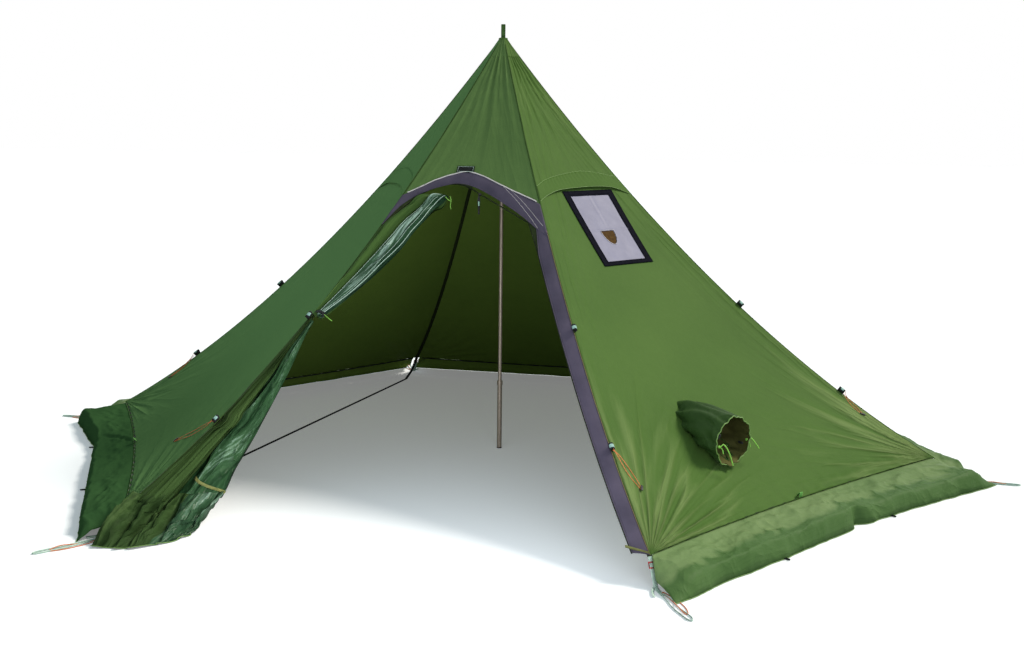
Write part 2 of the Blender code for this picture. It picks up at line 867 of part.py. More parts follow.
def make_sleeve():
    """Open tube that stands out of the side. It returns the cutter for its hole."""
    base, along, level, upward = sleeve_frame()
    lean = skin_lean(SIDES["right"], SLEEVE_REACH, 0.5 + SLEEVE_ACROSS / SLEEVE_REACH).normalized()

    def place(column, row, depth):
        turn = FULL_TURN * column
        ray = level * math.cos(turn) + upward * math.sin(turn)
        radius = SLEEVE_RADIUS + (SLEEVE_MOUTH_RADIUS - SLEEVE_RADIUS) * row - depth
        start = (-SLEEVE_INSIDE - (ray * radius).dot(lean)) / along.dot(lean)
        return base + along * (start + (SLEEVE_LENGTH - start) * row) + ray * radius

    tube = bmesh.new()
    rows = spread(4)
    profile = [(row, 0.0) for row in rows] + [(row, CLOTH) for row in rows[::-1]]
    rings = []
    for column in spread(SLEEVE_STEPS)[:-1]:
        rings.append([tube.verts.new(place(column, row, depth)) for row, depth in profile])
    for here, there in zip(rings, rings[1:] + rings[:1]):
        for index in range(len(profile)):
            after = (index + 1) % len(profile)
            tube.faces.new((here[index], here[after], there[after], there[index]))
    add_object("tunnel_sleeve", tube, green_cloth())
    outline = []
    for column in spread(SLEEVE_STEPS)[:-1]:
        turn = FULL_TURN * column
        ray = level * math.cos(turn) + upward * math.sin(turn)
        outline.append(base - along * SLEEVE_CUT + ray * (SLEEVE_RADIUS + 2 * SEWN_GAP))
    return cutter("sleeve_cutter", outline, along * 2 * SLEEVE_CUT)


def lock_frame():
    """Middle of the cord lock, beside the sleeve's mouth, and the direction that its button points."""
    base, along, level, upward = sleeve_frame()
    turn = math.radians(LOCK_ANGLE)
    ray = level * math.cos(turn) + upward * math.sin(turn)
    seat = base + along * (SLEEVE_LENGTH - LOCK_SETBACK)
    around = along.cross(ray).normalized()
    radius = SLEEVE_MOUTH_RADIUS + (SLEEVE_RADIUS - SLEEVE_MOUTH_RADIUS) * LOCK_SETBACK / SLEEVE_LENGTH
    return seat + ray * (radius + LOCK_RADIUS + GAP), around


def make_cord_lock():
    middle, around = lock_frame()
    bore = BUTTON_RADIUS + GAP
    depth = BUTTON_STEM + BUTTON_TRAVEL + GAP
    half = LOCK_LENGTH / 2
    turned(
        "cord_lock_barrel",
        (
            (0, -half),
            (LOCK_RADIUS * 0.8, -half),
            (LOCK_RADIUS, -half + 0.002),
            (LOCK_RADIUS, half - 0.001),
            (LOCK_RADIUS * 0.9, half),
            (bore, half),
            (bore, half - depth),
            (0, half - depth),
        ),
        12,
        black_plastic(),
        (middle, around),
    )
    button = turned(
        "cord_lock_button",
        (
            (0, half - BUTTON_STEM),
            (BUTTON_RADIUS, half - BUTTON_STEM),
            (BUTTON_RADIUS, half + BUTTON_PROUD - 0.0015),
            (BUTTON_RADIUS * 0.7, half + BUTTON_PROUD),
            (0, half + BUTTON_PROUD),
        ),
        12,
        black_plastic(),
        (middle, around),
    )
    put_origin(button, middle)


# Centre pole

def make_pole():
    bore = LOWER_RADIUS - LOWER_WALL
    neck = UPPER_RADIUS + GAP
    collar_foot = LOWER_LENGTH - COLLAR_LENGTH
    lower = turned(
        "lower_tube",
        (
            (bore, FOOT_THICKNESS + GAP),
            (bore, collar_foot + 0.004),
            (neck, collar_foot + 0.008),
            (neck, LOWER_LENGTH),
            (COLLAR_RADIUS - 0.002, LOWER_LENGTH),
            (COLLAR_RADIUS, LOWER_LENGTH - 0.004),
            (COLLAR_RADIUS, collar_foot + 0.003),
            (LOWER_RADIUS, collar_foot),
            (LOWER_RADIUS, FOOT_THICKNESS + GAP),
        ),
        20,
        pole_metal(),
    )
    for number, height in enumerate(HOLE_HEIGHTS):
        outline = []
        for step in range(8):
            turn = FULL_TURN * step / 8
            outline.append(
                Vector((HOLE_RADIUS * math.cos(turn), -0.03, height + HOLE_RADIUS * math.sin(turn)))
            )
        cut(lower, cutter(f"hole_cutter_{number}", outline, Vector((0, 0.025, 0))))
    plug = bore - GAP
    turned(
        "pole_foot",
        (
            (0, 0),
            (LOWER_RADIUS * 0.85, 0),
            (LOWER_RADIUS + 0.001, 0.002),
            (LOWER_RADIUS + 0.001, FOOT_THICKNESS),
            (plug, FOOT_THICKNESS),
            (plug, FOOT_PLUG),
            (plug - 0.002, FOOT_PLUG + 0.002),
            (0, FOOT_PLUG + 0.002),
        ),
        20,
        finish("black rubber", (0.02, 0.02, 0.02), 0.85),
    )
    tip_top = CUP_TOP - CUP_ROOF
    upper_top = tip_top - TIP_LENGTH
    upper = turned(
        "upper_tube",
        (
            (UPPER_RADIUS - UPPER_WALL, UPPER_FOOT),
            (UPPER_RADIUS - UPPER_WALL, upper_top),
            (UPPER_RADIUS, upper_top),
            (UPPER_RADIUS, UPPER_FOOT),
        ),
        20,
        pole_metal(),
    )
    put_origin(upper, (0, 0, UPPER_FOOT))
    stub = UPPER_RADIUS - UPPER_WALL - GAP
    body = bore - GAP
    expander_top = UPPER_FOOT - GAP
    expander = turned(
        "lock_expander",
        (
            (0, expander_top - EXPANDER_LENGTH),
            (body * 0.75, expander_top - EXPANDER_LENGTH),
            (body, expander_top - EXPANDER_LENGTH + 0.006),
            (body, expander_top - 0.012),
            (body * 0.8, expander_top - 0.010),
            (body * 0.8, expander_top),
            (stub, expander_top),
            (stub, expander_top + PLUG_LENGTH),
            (0, expander_top + PLUG_LENGTH),
        ),
        16,
        black_plastic(),
    )
    put_origin(expander, (0, 0, expander_top))
    tip = turned(
        "pole_tip",
        (
            (0, upper_top - PLUG_LENGTH),
            (stub, upper_top - PLUG_LENGTH),
            (stub, upper_top + GAP),
            (TIP_RADIUS, upper_top + GAP),
            (TIP_RADIUS, tip_top - 0.009),
            (TIP_RADIUS * 0.8, tip_top - 0.003),
            (TIP_RADIUS * 0.45, tip_top),
            (0, tip_top),
        ),
        16,
        black_plastic(),
    )
    put_origin(tip, (0, 0, UPPER_FOOT))
    turned(
        "peak_cup",
        (
            (0, CUP_TOP),
            (0, tip_top + GAP),
            (CUP_BORE * 0.8, tip_top + GAP),
            (CUP_BORE, tip_top - 0.004),
            (CUP_BORE, CUP_TOP - CUP_LENGTH),
            (CUP_BORE + 0.003, CUP_TOP - CUP_LENGTH - 0.002),
            (CUP_RADIUS, CUP_TOP - CUP_LENGTH),
            (CUP_RADIUS, CUP_TOP - 0.002),
            (CUP_RADIUS - 0.002, CUP_TOP),
        )[::-1],
        18,
        black_web(),
    )


# Peak cap and hanging loop

def make_peak():
    """Six-sided cap over the tops of the ridges, and the loop on it."""
    apothem = math.cos(math.radians(HALF_SIDE))
    shoulder = (CUP_RADIUS + 2 * GAP) / apothem
    low = ridge_normal(90, CAP_FOOT_REACH) * CAP_LIFT + ridge_point(90, CAP_FOOT_REACH)
    high = ridge_normal(90, PEAK_HOLE) * CAP_LIFT + ridge_point(90, PEAK_HOLE)
    top = CUP_TOP + GAP
    grow = CAP_THICKNESS
    turned(
        "peak_cap",
        (
            (0, top + grow),
            (shoulder + grow * 0.3, top + grow),
            (high.x + grow * 1.4, high.z + grow * 0.6),
            (low.x + grow * 0.8, low.z + grow * 0.62),
            (low.x, low.z),
            (high.x, high.z),
            (shoulder, top),
            (0, top),
        ),
        6,
        green_cloth(),
    )
    foot = top + grow + GAP
    sections = []
    for step in range(13):
        turn = math.pi * (step - 2) / 8 if 2 <= step <= 10 else (0 if step < 2 else math.pi)
        rise = {0: 0.0, 1: 0.5, 11: 0.5, 12: 0.0}.get(step, 1.0)
        ray = Vector((0, math.cos(turn), math.sin(turn)))
        arc_radius = LOOP_GAP / 2
        height = foot + rise * (LOOP_HEIGHT - arc_radius - WEB_THICKNESS)
        middle = Vector((0, 0, height))
        wide = Vector((LOOP_WIDTH / 2, 0, 0))
        near = middle + ray * arc_radius
        far = middle + ray * (arc_radius + WEB_THICKNESS)
        sections.append((near - wide, near + wide, far + wide, far - wide))
    swept("peak_loop", sections, green_cloth())


# Corner webbing and buckles

def strap_route():
    """Reach and height along the middle of the webbing, from the corner to its eye."""
    tangent = Vector((1.0, ridge_slope(CORNER_REACH))).normalized()
    normal = Vector((-tangent.y, tangent.x))
    start = Vector((CORNER_REACH, CORNER_HEIGHT)) - normal * (SEAM_DEPTH / 2) + tangent * STRAP_START_GAP
    drop = Vector((CORNER_REACH + STRAP_DROP_RUN, STRAP_DROP_HEIGHT))
    lie = Vector((CORNER_REACH + STRAP_GROUND_RUN, WEB_THICKNESS / 2))
    bend = drop + (drop - start) * 0.06
    bend.y = WEB_THICKNESS / 2
    route = [start, start.lerp(drop, 0.5), drop]
    for step in (0.3, 0.6):
        route.append(drop.lerp(bend, step).lerp(bend.lerp(lie, step), step))
    route.append(lie)
    end_reach = CORNER_REACH + STRAP_END_RUN
    eye_end = end_reach - EYE_MARGIN
    for end in (eye_end - EYE_LENGTH, eye_end, end_reach):
        route.append(Vector((end, WEB_THICKNESS / 2)))
    return route


def make_strap(name, degrees):
    route = strap_route()
    out = heading(degrees)
    beside = heading(degrees + 90)
    normals = []
    for index in range(len(route)):
        along = route[min(index + 1, len(route) - 1)] - route[max(index - 1, 0)]
        along.normalize()
        normals.append(Vector((-along.y, along.x)))

    def place(column, row, depth):
        index = round(row * (len(route) - 1))
        spot = route[index] + normals[index] * (WEB_THICKNESS / 2 - depth)
        return out * spot.x + Vector((0, 0, spot.y)) + beside * column

    half, eye = STRAP_WIDTH / 2, EYE_WIDTH / 2
    eye_row = len(route) - 3
    return closed_sheet(
        name,
        [-half, -eye, eye, half],
        spread(len(route) - 1),
        lambda column, row: place(column, row, 0.0),
        lambda column, row: place(column, row, WEB_THICKNESS),
        pale_web(),
        lambda column, row: 1 < column < 2 and eye_row < row < eye_row + 1,
    )


def strap_run():
    """Start and unit direction of the straight drop that the buckle slides on."""
    start, _, drop = strap_route()[:3]
    return start, (drop - start).normalized(), (drop - start).length


def make_buckle(name, degrees):
    """Three-bar slider: two bars in front of the webbing, the middle one behind it."""
    start, fall, run = strap_run()
    centre = start + fall * (run * BUCKLE_SHARE)
    out = heading(degrees)
    beside = heading(degrees + 90)
    down = out * fall.x + Vector((0, 0, fall.y))
    front = out * -fall.y + Vector((0, 0, fall.x))
    origin = out * centre.x + Vector((0, 0, centre.y))
    half, tall = BUCKLE_WIDTH / 2, BUCKLE_HEIGHT / 2
    window = half - BUCKLE_RAIL
    bar = BUCKLE_BAR / 2
    rise = WEB_THICKNESS / 2 + BUCKLE_SLACK
    rows = [-tall, -tall + BUCKLE_BAR, -bar, bar, tall - BUCKLE_BAR, tall]

    def place(column, row, depth):
        height = rise + BUCKLE_PLATE - depth
        if abs(row) <= bar and abs(column) <= window:
            height = -rise - depth
        return origin + beside * column + down * row + front * height

    buckle = closed_sheet(
        name,
        [-half, -window, window, half],
        rows,
        lambda column, row: place(column, row, 0.0),
        lambda column, row: place(column, row, BUCKLE_PLATE),
        finish("red anodised buckle", (0.4, 0.02, 0.03), 0.4, 0.6),
        lambda column, row: 1 < column < 2 and (1 < row < 2 or 3 < row < 4),
    )
    put_origin(buckle, origin)


def make_floor_strap():
    """Webbing from the back left corner to the front left corner, flat on the ground."""
    ends = []
    reach = CORNER_REACH - FLOOR_STRAP_INSET
    for corner in ("back_left", "front_left"):
        degrees = CORNERS[corner]
        foot = ridge_point(degrees, reach)
        under = SEAM_DEPTH + 2 * GAP + WEB_THICKNESS / 2
        ends.append(foot - ridge_normal(degrees, reach) * under)
    level = WEB_THICKNESS / 2
    bends = [Vector((x, y, level)) for x, y in FLOOR_STRAP_BENDS]
    route = [ends[0], ends[0].lerp(bends[0], 0.5), bends[0].copy()]
    route[1].z = ends[0].z * FLOOR_STRAP_FALL
    route += [bends[0].lerp(bends[1], share) for share in (0.1, 0.5)]
    route += [bends[1], bends[1].lerp(bends[2], 0.5), bends[2], bends[2].lerp(ends[1], 0.5), ends[1]]
    route[-2].z = ends[1].z * FLOOR_STRAP_FALL
    sections = []
    for index, point in enumerate(route):
        along = route[min(index + 1, len(route) - 1)] - route[max(index - 1, 0)]
        along.normalize()
        wide = along.cross(Vector((0, 0, 1))).normalized() * (STRAP_WIDTH / 2)
        thick = Vector((0, 0, WEB_THICKNESS / 2))
        sections.append(
            (point - wide - thick, point + wide - thick, point + wide + thick, point - wide + thick)
        )
    swept("floor_strap", sections, black_web())


# Door

def roll_section(share):
    """Centre and half axes of the roll: tucked under the arch band, then beside the ridge seam."""
    degrees = CORNERS["front_left"]
    reach = ROLL_TOP_REACH + (ROLL_FOOT_REACH - ROLL_TOP_REACH) * share
    ease = share**ROLL_TAPER
    width = ROLL_TOP_WIDTH + (ROLL_FOOT_WIDTH - ROLL_TOP_WIDTH) * ease
    depth = ROLL_TOP_DEPTH + (ROLL_FOOT_DEPTH - ROLL_TOP_DEPTH) * ease
    edge = edge_share(1.0, SEAM_THICKNESS / 2 + TIE_THICKNESS + TIE_SLACK + GAP)
    under_band = ZIP_THICKNESS + EDGE_GAP + depth / 2
    tucked = min(max((ROLL_FREE - share) / (ROLL_FREE - ROLL_TUCK), 0.0), 1.0)
    sink = SEAM_DEPTH / 2 + (under_band - SEAM_DEPTH / 2) * tucked
    sideways = heading(FRONT_SIDE + 90)
    normal = ridge_normal(degrees, reach)
    centre = ridge_point(degrees, reach) - sideways * (edge + width / 2) - normal * sink
    return centre, sideways * (width / 2), normal * (depth / 2)


def ring_of(centre, wide, deep):
    points = []
    for step in range(ROLL_CORNERS):
        turn = FULL_TURN * step / ROLL_CORNERS
        points.append(centre + wide * math.cos(turn) + deep * math.sin(turn))
    return points


def make_roll():
    sections = [ring_of(*roll_section(share)) for share in spread(8)]
    swept("door_roll", sections, green_cloth())


def make_tieback():
    """Webbing band round the foot of the roll, against the ridge seam."""
    band = bmesh.new()
    share = (TIE_REACH - ROLL_TOP_REACH) / (ROLL_FOOT_REACH - ROLL_TOP_REACH)
    step_share = TIE_WIDTH / 2 / slope_per_reach(TIE_REACH) / (ROLL_FOOT_REACH - ROLL_TOP_REACH)
    outer = TIE_SLACK + TIE_THICKNESS
    rings = []
    for offset, grow in ((-1, TIE_SLACK), (-1, outer), (1, outer), (1, TIE_SLACK)):
        centre, wide, deep = roll_section(share + offset * step_share)
        wide = wide.normalized() * (wide.length + grow)
        deep = deep.normalized() * (deep.length + grow)
        rings.append([band.verts.new(point) for point in ring_of(centre, wide, deep)])
    for here, there in zip(rings, rings[1:] + rings[:1]):
        for index in range(len(here)):
            after = (index + 1) % len(here)
            band.faces.new((here[index], here[after], there[after], there[index]))
    add_object("door_tieback", band, pale_web())


def flap_axis():
    """Line that the hanging door swings about, under the front left ridge."""
    degrees = CORNERS["front_left"]
    start, end = (ridge_point(degrees, reach) for reach in (FLAP_TOP_REACH, FLAP_FOOT_REACH))
    middle_reach = (FLAP_TOP_REACH + FLAP_FOOT_REACH) / 2
    sag = start.lerp(end, 0.5).z - ridge_height(middle_reach) + SEAM_DEPTH
    lower = Vector((0, 0, -sag))
    return start + lower, end + lower


def make_flap():
    """Lower door cloth, gathered under its ridge, thick and spread where it meets the ground."""
    degrees = CORNERS["front_left"]
    door_side = heading(degrees - 90)

    def place(column, row, side):
        reach = FLAP_TOP_REACH + (FLAP_FOOT_REACH - FLAP_TOP_REACH) * column
        seam = ridge_point(degrees, reach) - ridge_normal(degrees, reach) * (SEAM_DEPTH + FLAP_CLEARANCE)
        fall = (reach - FLAP_TOP_REACH) / (FLAP_LANDING_REACH - FLAP_TOP_REACH)
        start_height = ridge_height(FLAP_TOP_REACH) - FLAP_START_DROP
        hem_height = start_height + (FLAP_FLOOR_CLEARANCE - start_height) * min(fall, 1.0) ** 0.86
        spread_share = min(max((reach - FLAP_SPREAD_REACH) / FLAP_SPREAD_RUN, 0.0), 1.0)
        hem = seam + door_side * (FLAP_SPREAD * spread_share**1.5)
        hem.z = min(hem_height, seam.z - FLAP_LEAST_DROP)
        thickness = FLAP_TOP_THICKNESS + (FLAP_FOOT_THICKNESS - FLAP_TOP_THICKNESS) * row**0.7
        return seam.lerp(hem, row) + door_side * (side * thickness / 2)

    flap = closed_sheet(
        "door_flap",
        spread(10),
        spread(4),
        lambda column, row: place(column, row, 1.0),
        lambda column, row: place(column, row, -1.0),
        green_cloth(),
    )
    put_origin(flap, flap_axis()[0])


# Guylines, each doubled back to its own tab

def smooth_route(knots, count):
    """Evenly stepped points of a smooth curve through the knots."""
    padded = [knots[0] * 2 - knots[1], *knots, knots[-1] * 2 - knots[-2]]
    fine = []
    for first, second, third, fourth in zip(padded, padded[1:], padded[2:], padded[3:]):
        for t in spread(CURVE_STEPS)[:-1]:
            fine.append(
                (
                    second * 2
                    + (third - first) * t
                    + (first * 2 - second * 5 + third * 4 - fourth) * t**2
                    + (second * 3 - first - third * 3 + fourth) * t**3
                )
                / 2
            )
    fine.append(knots[-1])
    lengths = [0.0]
    for before, after in zip(fine, fine[1:]):
        lengths.append(lengths[-1] + (after - before).length)
    points = []
    index = 0
    for step in range(count):
        goal = lengths[-1] * step / (count - 1)
        while index < len(fine) - 2 and lengths[index + 1] < goal:
            index += 1
        share = (goal - lengths[index]) / (lengths[index + 1] - lengths[index])
        points.append(fine[index].lerp(fine[index + 1], share))
    return points


def guyline_knots(degrees, side, drop, inward):
    """Route from the lower tab over the cloth, round its end and back."""
    tab = ridge_point(degrees, LOWER_TAB_REACH)
    normal = ridge_normal(degrees, LOWER_TAB_REACH)
    tangent = ridge_tangent(degrees, LOWER_TAB_REACH)
    start = tab + normal * (TAB_HEIGHT * 0.8) + tangent * (TAB_LENGTH / 2 + LINE_RADIUS + LINE_CLEARANCE)
    towards = 1.0 if side < degrees else -1.0
    if abs(side - degrees) > 180:
        towards = -towards

    def spot(place, aside, lift):
        down, into = place
        reach = LOWER_TAB_REACH + drop * down
        across = towards * (reach / 2 - LINE_EDGE - inward * into - aside)
        return skin_at(side, across, reach, lift)

    low = LINE_RADIUS + SEWN_GAP + LINE_CLEARANCE
    return [
        start,
        spot(LINE_LEAVE, 0.0, LINE_STEP),
        spot(LINE_DOWN, 0.0, low),
        spot(LINE_BEFORE_TURN, -LINE_SPREAD, low),
        spot(LINE_TURN, 0.0, low),
        spot(LINE_AFTER_TURN, LINE_SPREAD, low),
        spot(LINE_UP, LINE_SPREAD, low),
        spot(LINE_ARRIVE, 0.0, LINE_STEP),
        start - normal * LINE_STEP,
    ]


def make_guyline(name, degrees, side, drop, inward):
    curve = bpy.data.curves.new(name, "CURVE")
    curve.dimensions = "3D"
    curve.bevel_depth = LINE_RADIUS
    curve.bevel_resolution = 2
    curve.use_fill_caps = True
    route = smooth_route(guyline_knots(degrees, side, drop, inward), LINE_POINTS)
    spline = curve.splines.new("POLY")
    spline.points.add(len(route) - 1)
    for item, point in zip(spline.points, route):
        item.co = (*point, 1.0)
    curve.materials.append(orange_line())
    thing = bpy.data.objects.new(name, curve)
    bpy.context.scene.collection.objects.link(thing)


def build():
    for thing in list(bpy.context.scene.objects):
        bpy.data.objects.remove(thing, do_unlink=True)
    for name, side in SIDES.items():
        panel = make_side(f"{name}_side", side, CLOTH_COLUMNS, CLOTH_ROWS, lambda share: CORNER_REACH)
        make_skirt(f"{name}_skirt", side)
        if name == "right":
            hem_side = JACK_SIDE_BORDER - JACK_HEM
            hem_end = JACK_END_BORDER - JACK_HEM
            cut_through(panel, "jack_cutter", jack_outline(hem_side, hem_end, CUTTER_LIFT))
            cut(panel, make_sleeve())
    make_side("front_side", FRONT_SIDE, BAND_COLUMNS, 4, lambda share: arch_reach(share) - GAP)
    make_arch_trim()
    make_side_trim()
    make_zip_track()
    make_slider()
    make_pull()
    make_jack()
    make_hood("right_vent_hood", SIDES["right"])
    make_hood("left_vent_hood", SIDES["left"])
    make_cord_lock()
    make_pole()
    make_peak()
    make_floor_strap()
    make_roll()
    make_tieback()
    make_flap()
    for name, degrees in CORNERS.items():
        make_seam(f"{name}_ridge_seam", degrees)
        make_strap(f"{name}_corner_strap", degrees)
        make_buckle(f"{name}_buckle", degrees)
    for name, (side, drop, inward) in GUYLINES.items():
        make_guyline(f"{name}_guyline", CORNERS[name], SIDES[side], drop, inward)


build()
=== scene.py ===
import math

import bmesh
import bpy
from mathutils import Matrix, Vector, noise


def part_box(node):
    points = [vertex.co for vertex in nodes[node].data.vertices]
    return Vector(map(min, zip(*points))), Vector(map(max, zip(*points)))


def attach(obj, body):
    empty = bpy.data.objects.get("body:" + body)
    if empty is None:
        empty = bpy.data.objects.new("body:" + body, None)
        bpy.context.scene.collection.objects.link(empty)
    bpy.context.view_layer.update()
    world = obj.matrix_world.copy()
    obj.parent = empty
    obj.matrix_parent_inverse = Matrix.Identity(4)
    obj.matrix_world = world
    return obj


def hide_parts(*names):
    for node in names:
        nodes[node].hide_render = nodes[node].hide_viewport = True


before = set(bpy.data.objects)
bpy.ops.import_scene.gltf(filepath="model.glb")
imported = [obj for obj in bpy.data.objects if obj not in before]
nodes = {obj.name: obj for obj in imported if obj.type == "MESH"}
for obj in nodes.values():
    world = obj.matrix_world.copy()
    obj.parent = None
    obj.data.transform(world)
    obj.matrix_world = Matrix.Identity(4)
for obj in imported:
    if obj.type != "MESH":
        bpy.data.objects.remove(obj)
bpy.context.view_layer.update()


# Camera: it stands in front of the doorway and a little to its right, below the height of the
# peak, and looks slightly down.
camera_data = bpy.data.cameras.new("camera")
camera_data.sensor_width = 36.0
camera_data.lens = 48.02
camera = bpy.data.objects.new("camera", camera_data)
turn, dip, tilt = -0.25217, 0.1485, 0.01134
ahead = Vector((math.sin(turn) * math.cos(dip), math.cos(turn) * math.cos(dip), -math.sin(dip)))
level = ahead.cross(Vector((0, 0, 1))).normalized()
above = level.cross(ahead)
right = level * math.cos(tilt) + above * math.sin(tilt)
above = above * math.cos(tilt) - level * math.sin(tilt)
camera.matrix_world = Matrix.Translation((2.05175, -7.68856, 1.93949)) @ Matrix(
    (right, above, -ahead)
).transposed().to_4x4()
bpy.context.scene.collection.objects.link(camera)
bpy.context.scene.camera = camera


# Shape of the shelter: six ridges fall from the peak to the ground in a shallow curve, and the
# cloth between two of them is pulled in a little at its middle. A place on a side is its reach,
# which is how far out its ridges are, and its share of the way from one ridge to the next.
CORNERS = {
    "front_right": 150, "right": 90, "back_right": 30,
    "back_left": 330, "left": 270, "front_left": 210,
}
SIDES = {"right": 120, "back_right": 60, "back": 0, "back_left": 300, "left": 240}
FRONT = 180
PEAK = 2.42
HEM = 2.48
# The middle of a side lies at this share of its ridges' reach, and this much cloth covers each
# metre of reach.
MIDDLE_OUT = 0.866
SLANT = 1.18


def heading(degrees):
    """Level direction of a compass bearing."""
    return Vector((math.sin(math.radians(degrees)), math.cos(math.radians(degrees)), 0.0))


def ridge_height(reach):
    share = reach / HEM
    return PEAK - 2.295 * share - 0.88 * share * (1 - share)


def ridge_slope(reach):
    return (-2.295 - 0.88 * (1 - 2 * reach / HEM)) / HEM


def ridge_point(degrees, reach, lift=0.0):
    normal = (heading(degrees) * -ridge_slope(reach) + Vector((0, 0, 1))).normalized()
    return heading(degrees) * reach + Vector((0, 0, ridge_height(reach))) + normal * lift


def ridge_along(degrees, reach):
    return (heading(degrees) + Vector((0, 0, ridge_slope(reach)))).normalized()


def lean(side, reach, share):
    """Outward direction of the cloth."""
    first = heading(side - 30) * -ridge_slope(reach) + Vector((0, 0, 1))
    second = heading(side + 30) * -ridge_slope(reach) + Vector((0, 0, 1))
    return first.normalized().lerp(second.normalized(), share).normalized()


def skin(side, reach, share, lift=0.0):
    first, second = ridge_point(side - 30, reach), ridge_point(side + 30, reach)
    sag = 0.05 * 4 * share * (1 - share) * reach / HEM
    return first.lerp(second, share) - heading(side) * sag + lean(side, reach, share) * lift


def skin_at(side, across, reach, lift=0.0):
    """Place on a side by its distance from the side's middle line."""
    return skin(side, reach, 0.5 + across / reach, lift)


# Guylines: thin orange cord with a braided sheath. Each starts at the lower tab on its ridge,
# lies on the cloth beside it in a long loop and comes back to the tab through its runner.
def node_adder(tree):
    """Helper that adds a node to the tree, wired to others. A socket is given by name or number."""
    def add(kind, settings=(), **wires):
        node = tree.nodes.new("ShaderNode" + kind)
        for key, value in dict(settings).items():
            setattr(node, key, value)
        for key, value in wires.items():
            socket = node.inputs[int(key[1:]) if key[0] == "i" and key[1:].isdigit() else key]
            if isinstance(value, bpy.types.NodeSocket):
                tree.links.new(value, socket)
            else:
                socket.default_value = value
        return node

    return add


def new_material(name):
    """Material with its shader and its node helper."""
    material = bpy.data.materials.new(name)
    material.use_nodes = True
    return material, material.node_tree.nodes["Principled BSDF"], node_adder(material.node_tree)


def two_tone(add, pattern, dark, light, start=0.0, end=1.0, middle=None):
    """Colour that runs from dark to light over a pattern, through a middle one if it is given."""
    ramp = add("ValToRGB", i0=pattern)
    for stop, place, colour in zip(ramp.color_ramp.elements, (start, end), (dark, light)):
        stop.position = place
        stop.color = (*colour, 1)
    if middle:
        ramp.color_ramp.elements.new(0.55).color = (*middle, 1)
    return ramp.outputs["Color"]


def surface(shader, colour, roughness, bump=None, shine=0.5, metallic=0.0):
    """Wires a material's colour and relief, and sets its gloss."""
    links = shader.id_data.links
    links.new(colour, shader.inputs["Base Color"])
    if bump:
        links.new(bump.outputs["Normal"], shader.inputs["Normal"])
    shader.inputs["Roughness"].default_value = roughness
    shader.inputs["Specular IOR Level"].default_value = shine
    shader.inputs["Metallic"].default_value = metallic


def fasten(slot, *things, body="shelter"):
    """Pieces that move with the body. The slot is not used."""
    for thing in things:
        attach(thing, body)


def smooth_route(knots, count):
    """Evenly stepped points of a smooth curve through the knots."""
    padded = [knots[0] * 2 - knots[1], *knots, knots[-1] * 2 - knots[-2]]
    fine = []
    for one, two, three, four in zip(padded, padded[1:], padded[2:], padded[3:]):
        for step in range(24):
            t = step / 24
            fine.append(
                (two * 2 + (three - one) * t + (one * 2 - two * 5 + three * 4 - four) * t**2
                 + (two * 3 - one - three * 3 + four) * t**3) / 2
            )
    fine.append(knots[-1])
    lengths = [0.0]
    for before, after in zip(fine, fine[1:]):
        lengths.append(lengths[-1] + (after - before).length)
    points, index = [], 0
    for step in range(count):
        goal = lengths[-1] * step / (count - 1)
        while index < len(fine) - 2 and lengths[index + 1] < goal:
            index += 1
        part = (goal - lengths[index]) / (lengths[index + 1] - lengths[index])
        points.append(fine[index].lerp(fine[index + 1], part))
    return points


def drawn_line(name, points, radius, material, sides=2):
    """Round line through points."""
    curve = bpy.data.curves.new(name, "CURVE")
    curve.dimensions = "3D"
    curve.bevel_depth = radius
    curve.bevel_resolution = sides
    curve.use_fill_caps = True
    spline = curve.splines.new("POLY")
    spline.points.add(len(points) - 1)
    for item, point in zip(spline.points, points):
        item.co = (*point, 1.0)
    curve.materials.append(material)
    thing = bpy.data.objects.new(name, curve)
    bpy.context.scene.collection.objects.link(thing)
    return thing


orange_braid, shader, add = new_material("orange_braid")
solid = add("TexCoord").outputs["Object"]
braid = add("TexWave", {"wave_type": "BANDS", "bands_direction": "DIAGONAL"}, Vector=solid, Scale=420.0,
            Distortion=1.5)
colour = two_tone(add, braid.outputs["Color"], (0.45, 0.085, 0.02), (0.92, 0.26, 0.08))
bump = add("Bump", Strength=0.4, Distance=0.0004, Height=braid.outputs["Color"])
surface(shader, colour, 0.6, bump)
LOWER_TAB = 1.96
GUYLINES = {
    "front_right": ("right", 0.22, 0.10),
    "right": ("right", 0.16, 0.045),
    "back_right": ("back_right", 0.20, 0.06),
    "back_left": ("back_left", 0.20, 0.06),
    "left": ("left", 0.21, 0.075),
    "front_left": ("left", 0.26, 0.50),
}
LINE_RADIUS = 0.0015


def guyline_route(corner):
    side_name, drop, inward = GUYLINES[corner]
    side, degrees = SIDES[side_name], CORNERS[corner]
    towards = 1.0 if (side < degrees) != (abs(side - degrees) > 180) else -1.0
    stand = ridge_point(degrees, LOWER_TAB, 0.0256)
    start = stand + ridge_along(degrees, LOWER_TAB) * 0.015

    def spot(down, inwards, aside, lift):
        reach = LOWER_TAB + drop * down
        across = towards * (reach / 2 - 0.012 - inward * inwards - aside)
        return skin_at(side, across, reach, lift)

    low = LINE_RADIUS + 0.0016
    return smooth_route([
        start,
        spot(0.25, 0.16, -0.002, 0.012),
        spot(0.62, 0.54, -0.009, low),
        spot(0.94, 0.90, -0.005, low),
        spot(1.02, 0.96, 0.0, low),
        spot(0.93, 0.92, 0.006, low),
        spot(0.58, 0.60, 0.012, low),
        spot(0.22, 0.22, 0.004, 0.012),
        start - (stand - ridge_point(degrees, LOWER_TAB)).normalized() * 0.012,
    ], 40)


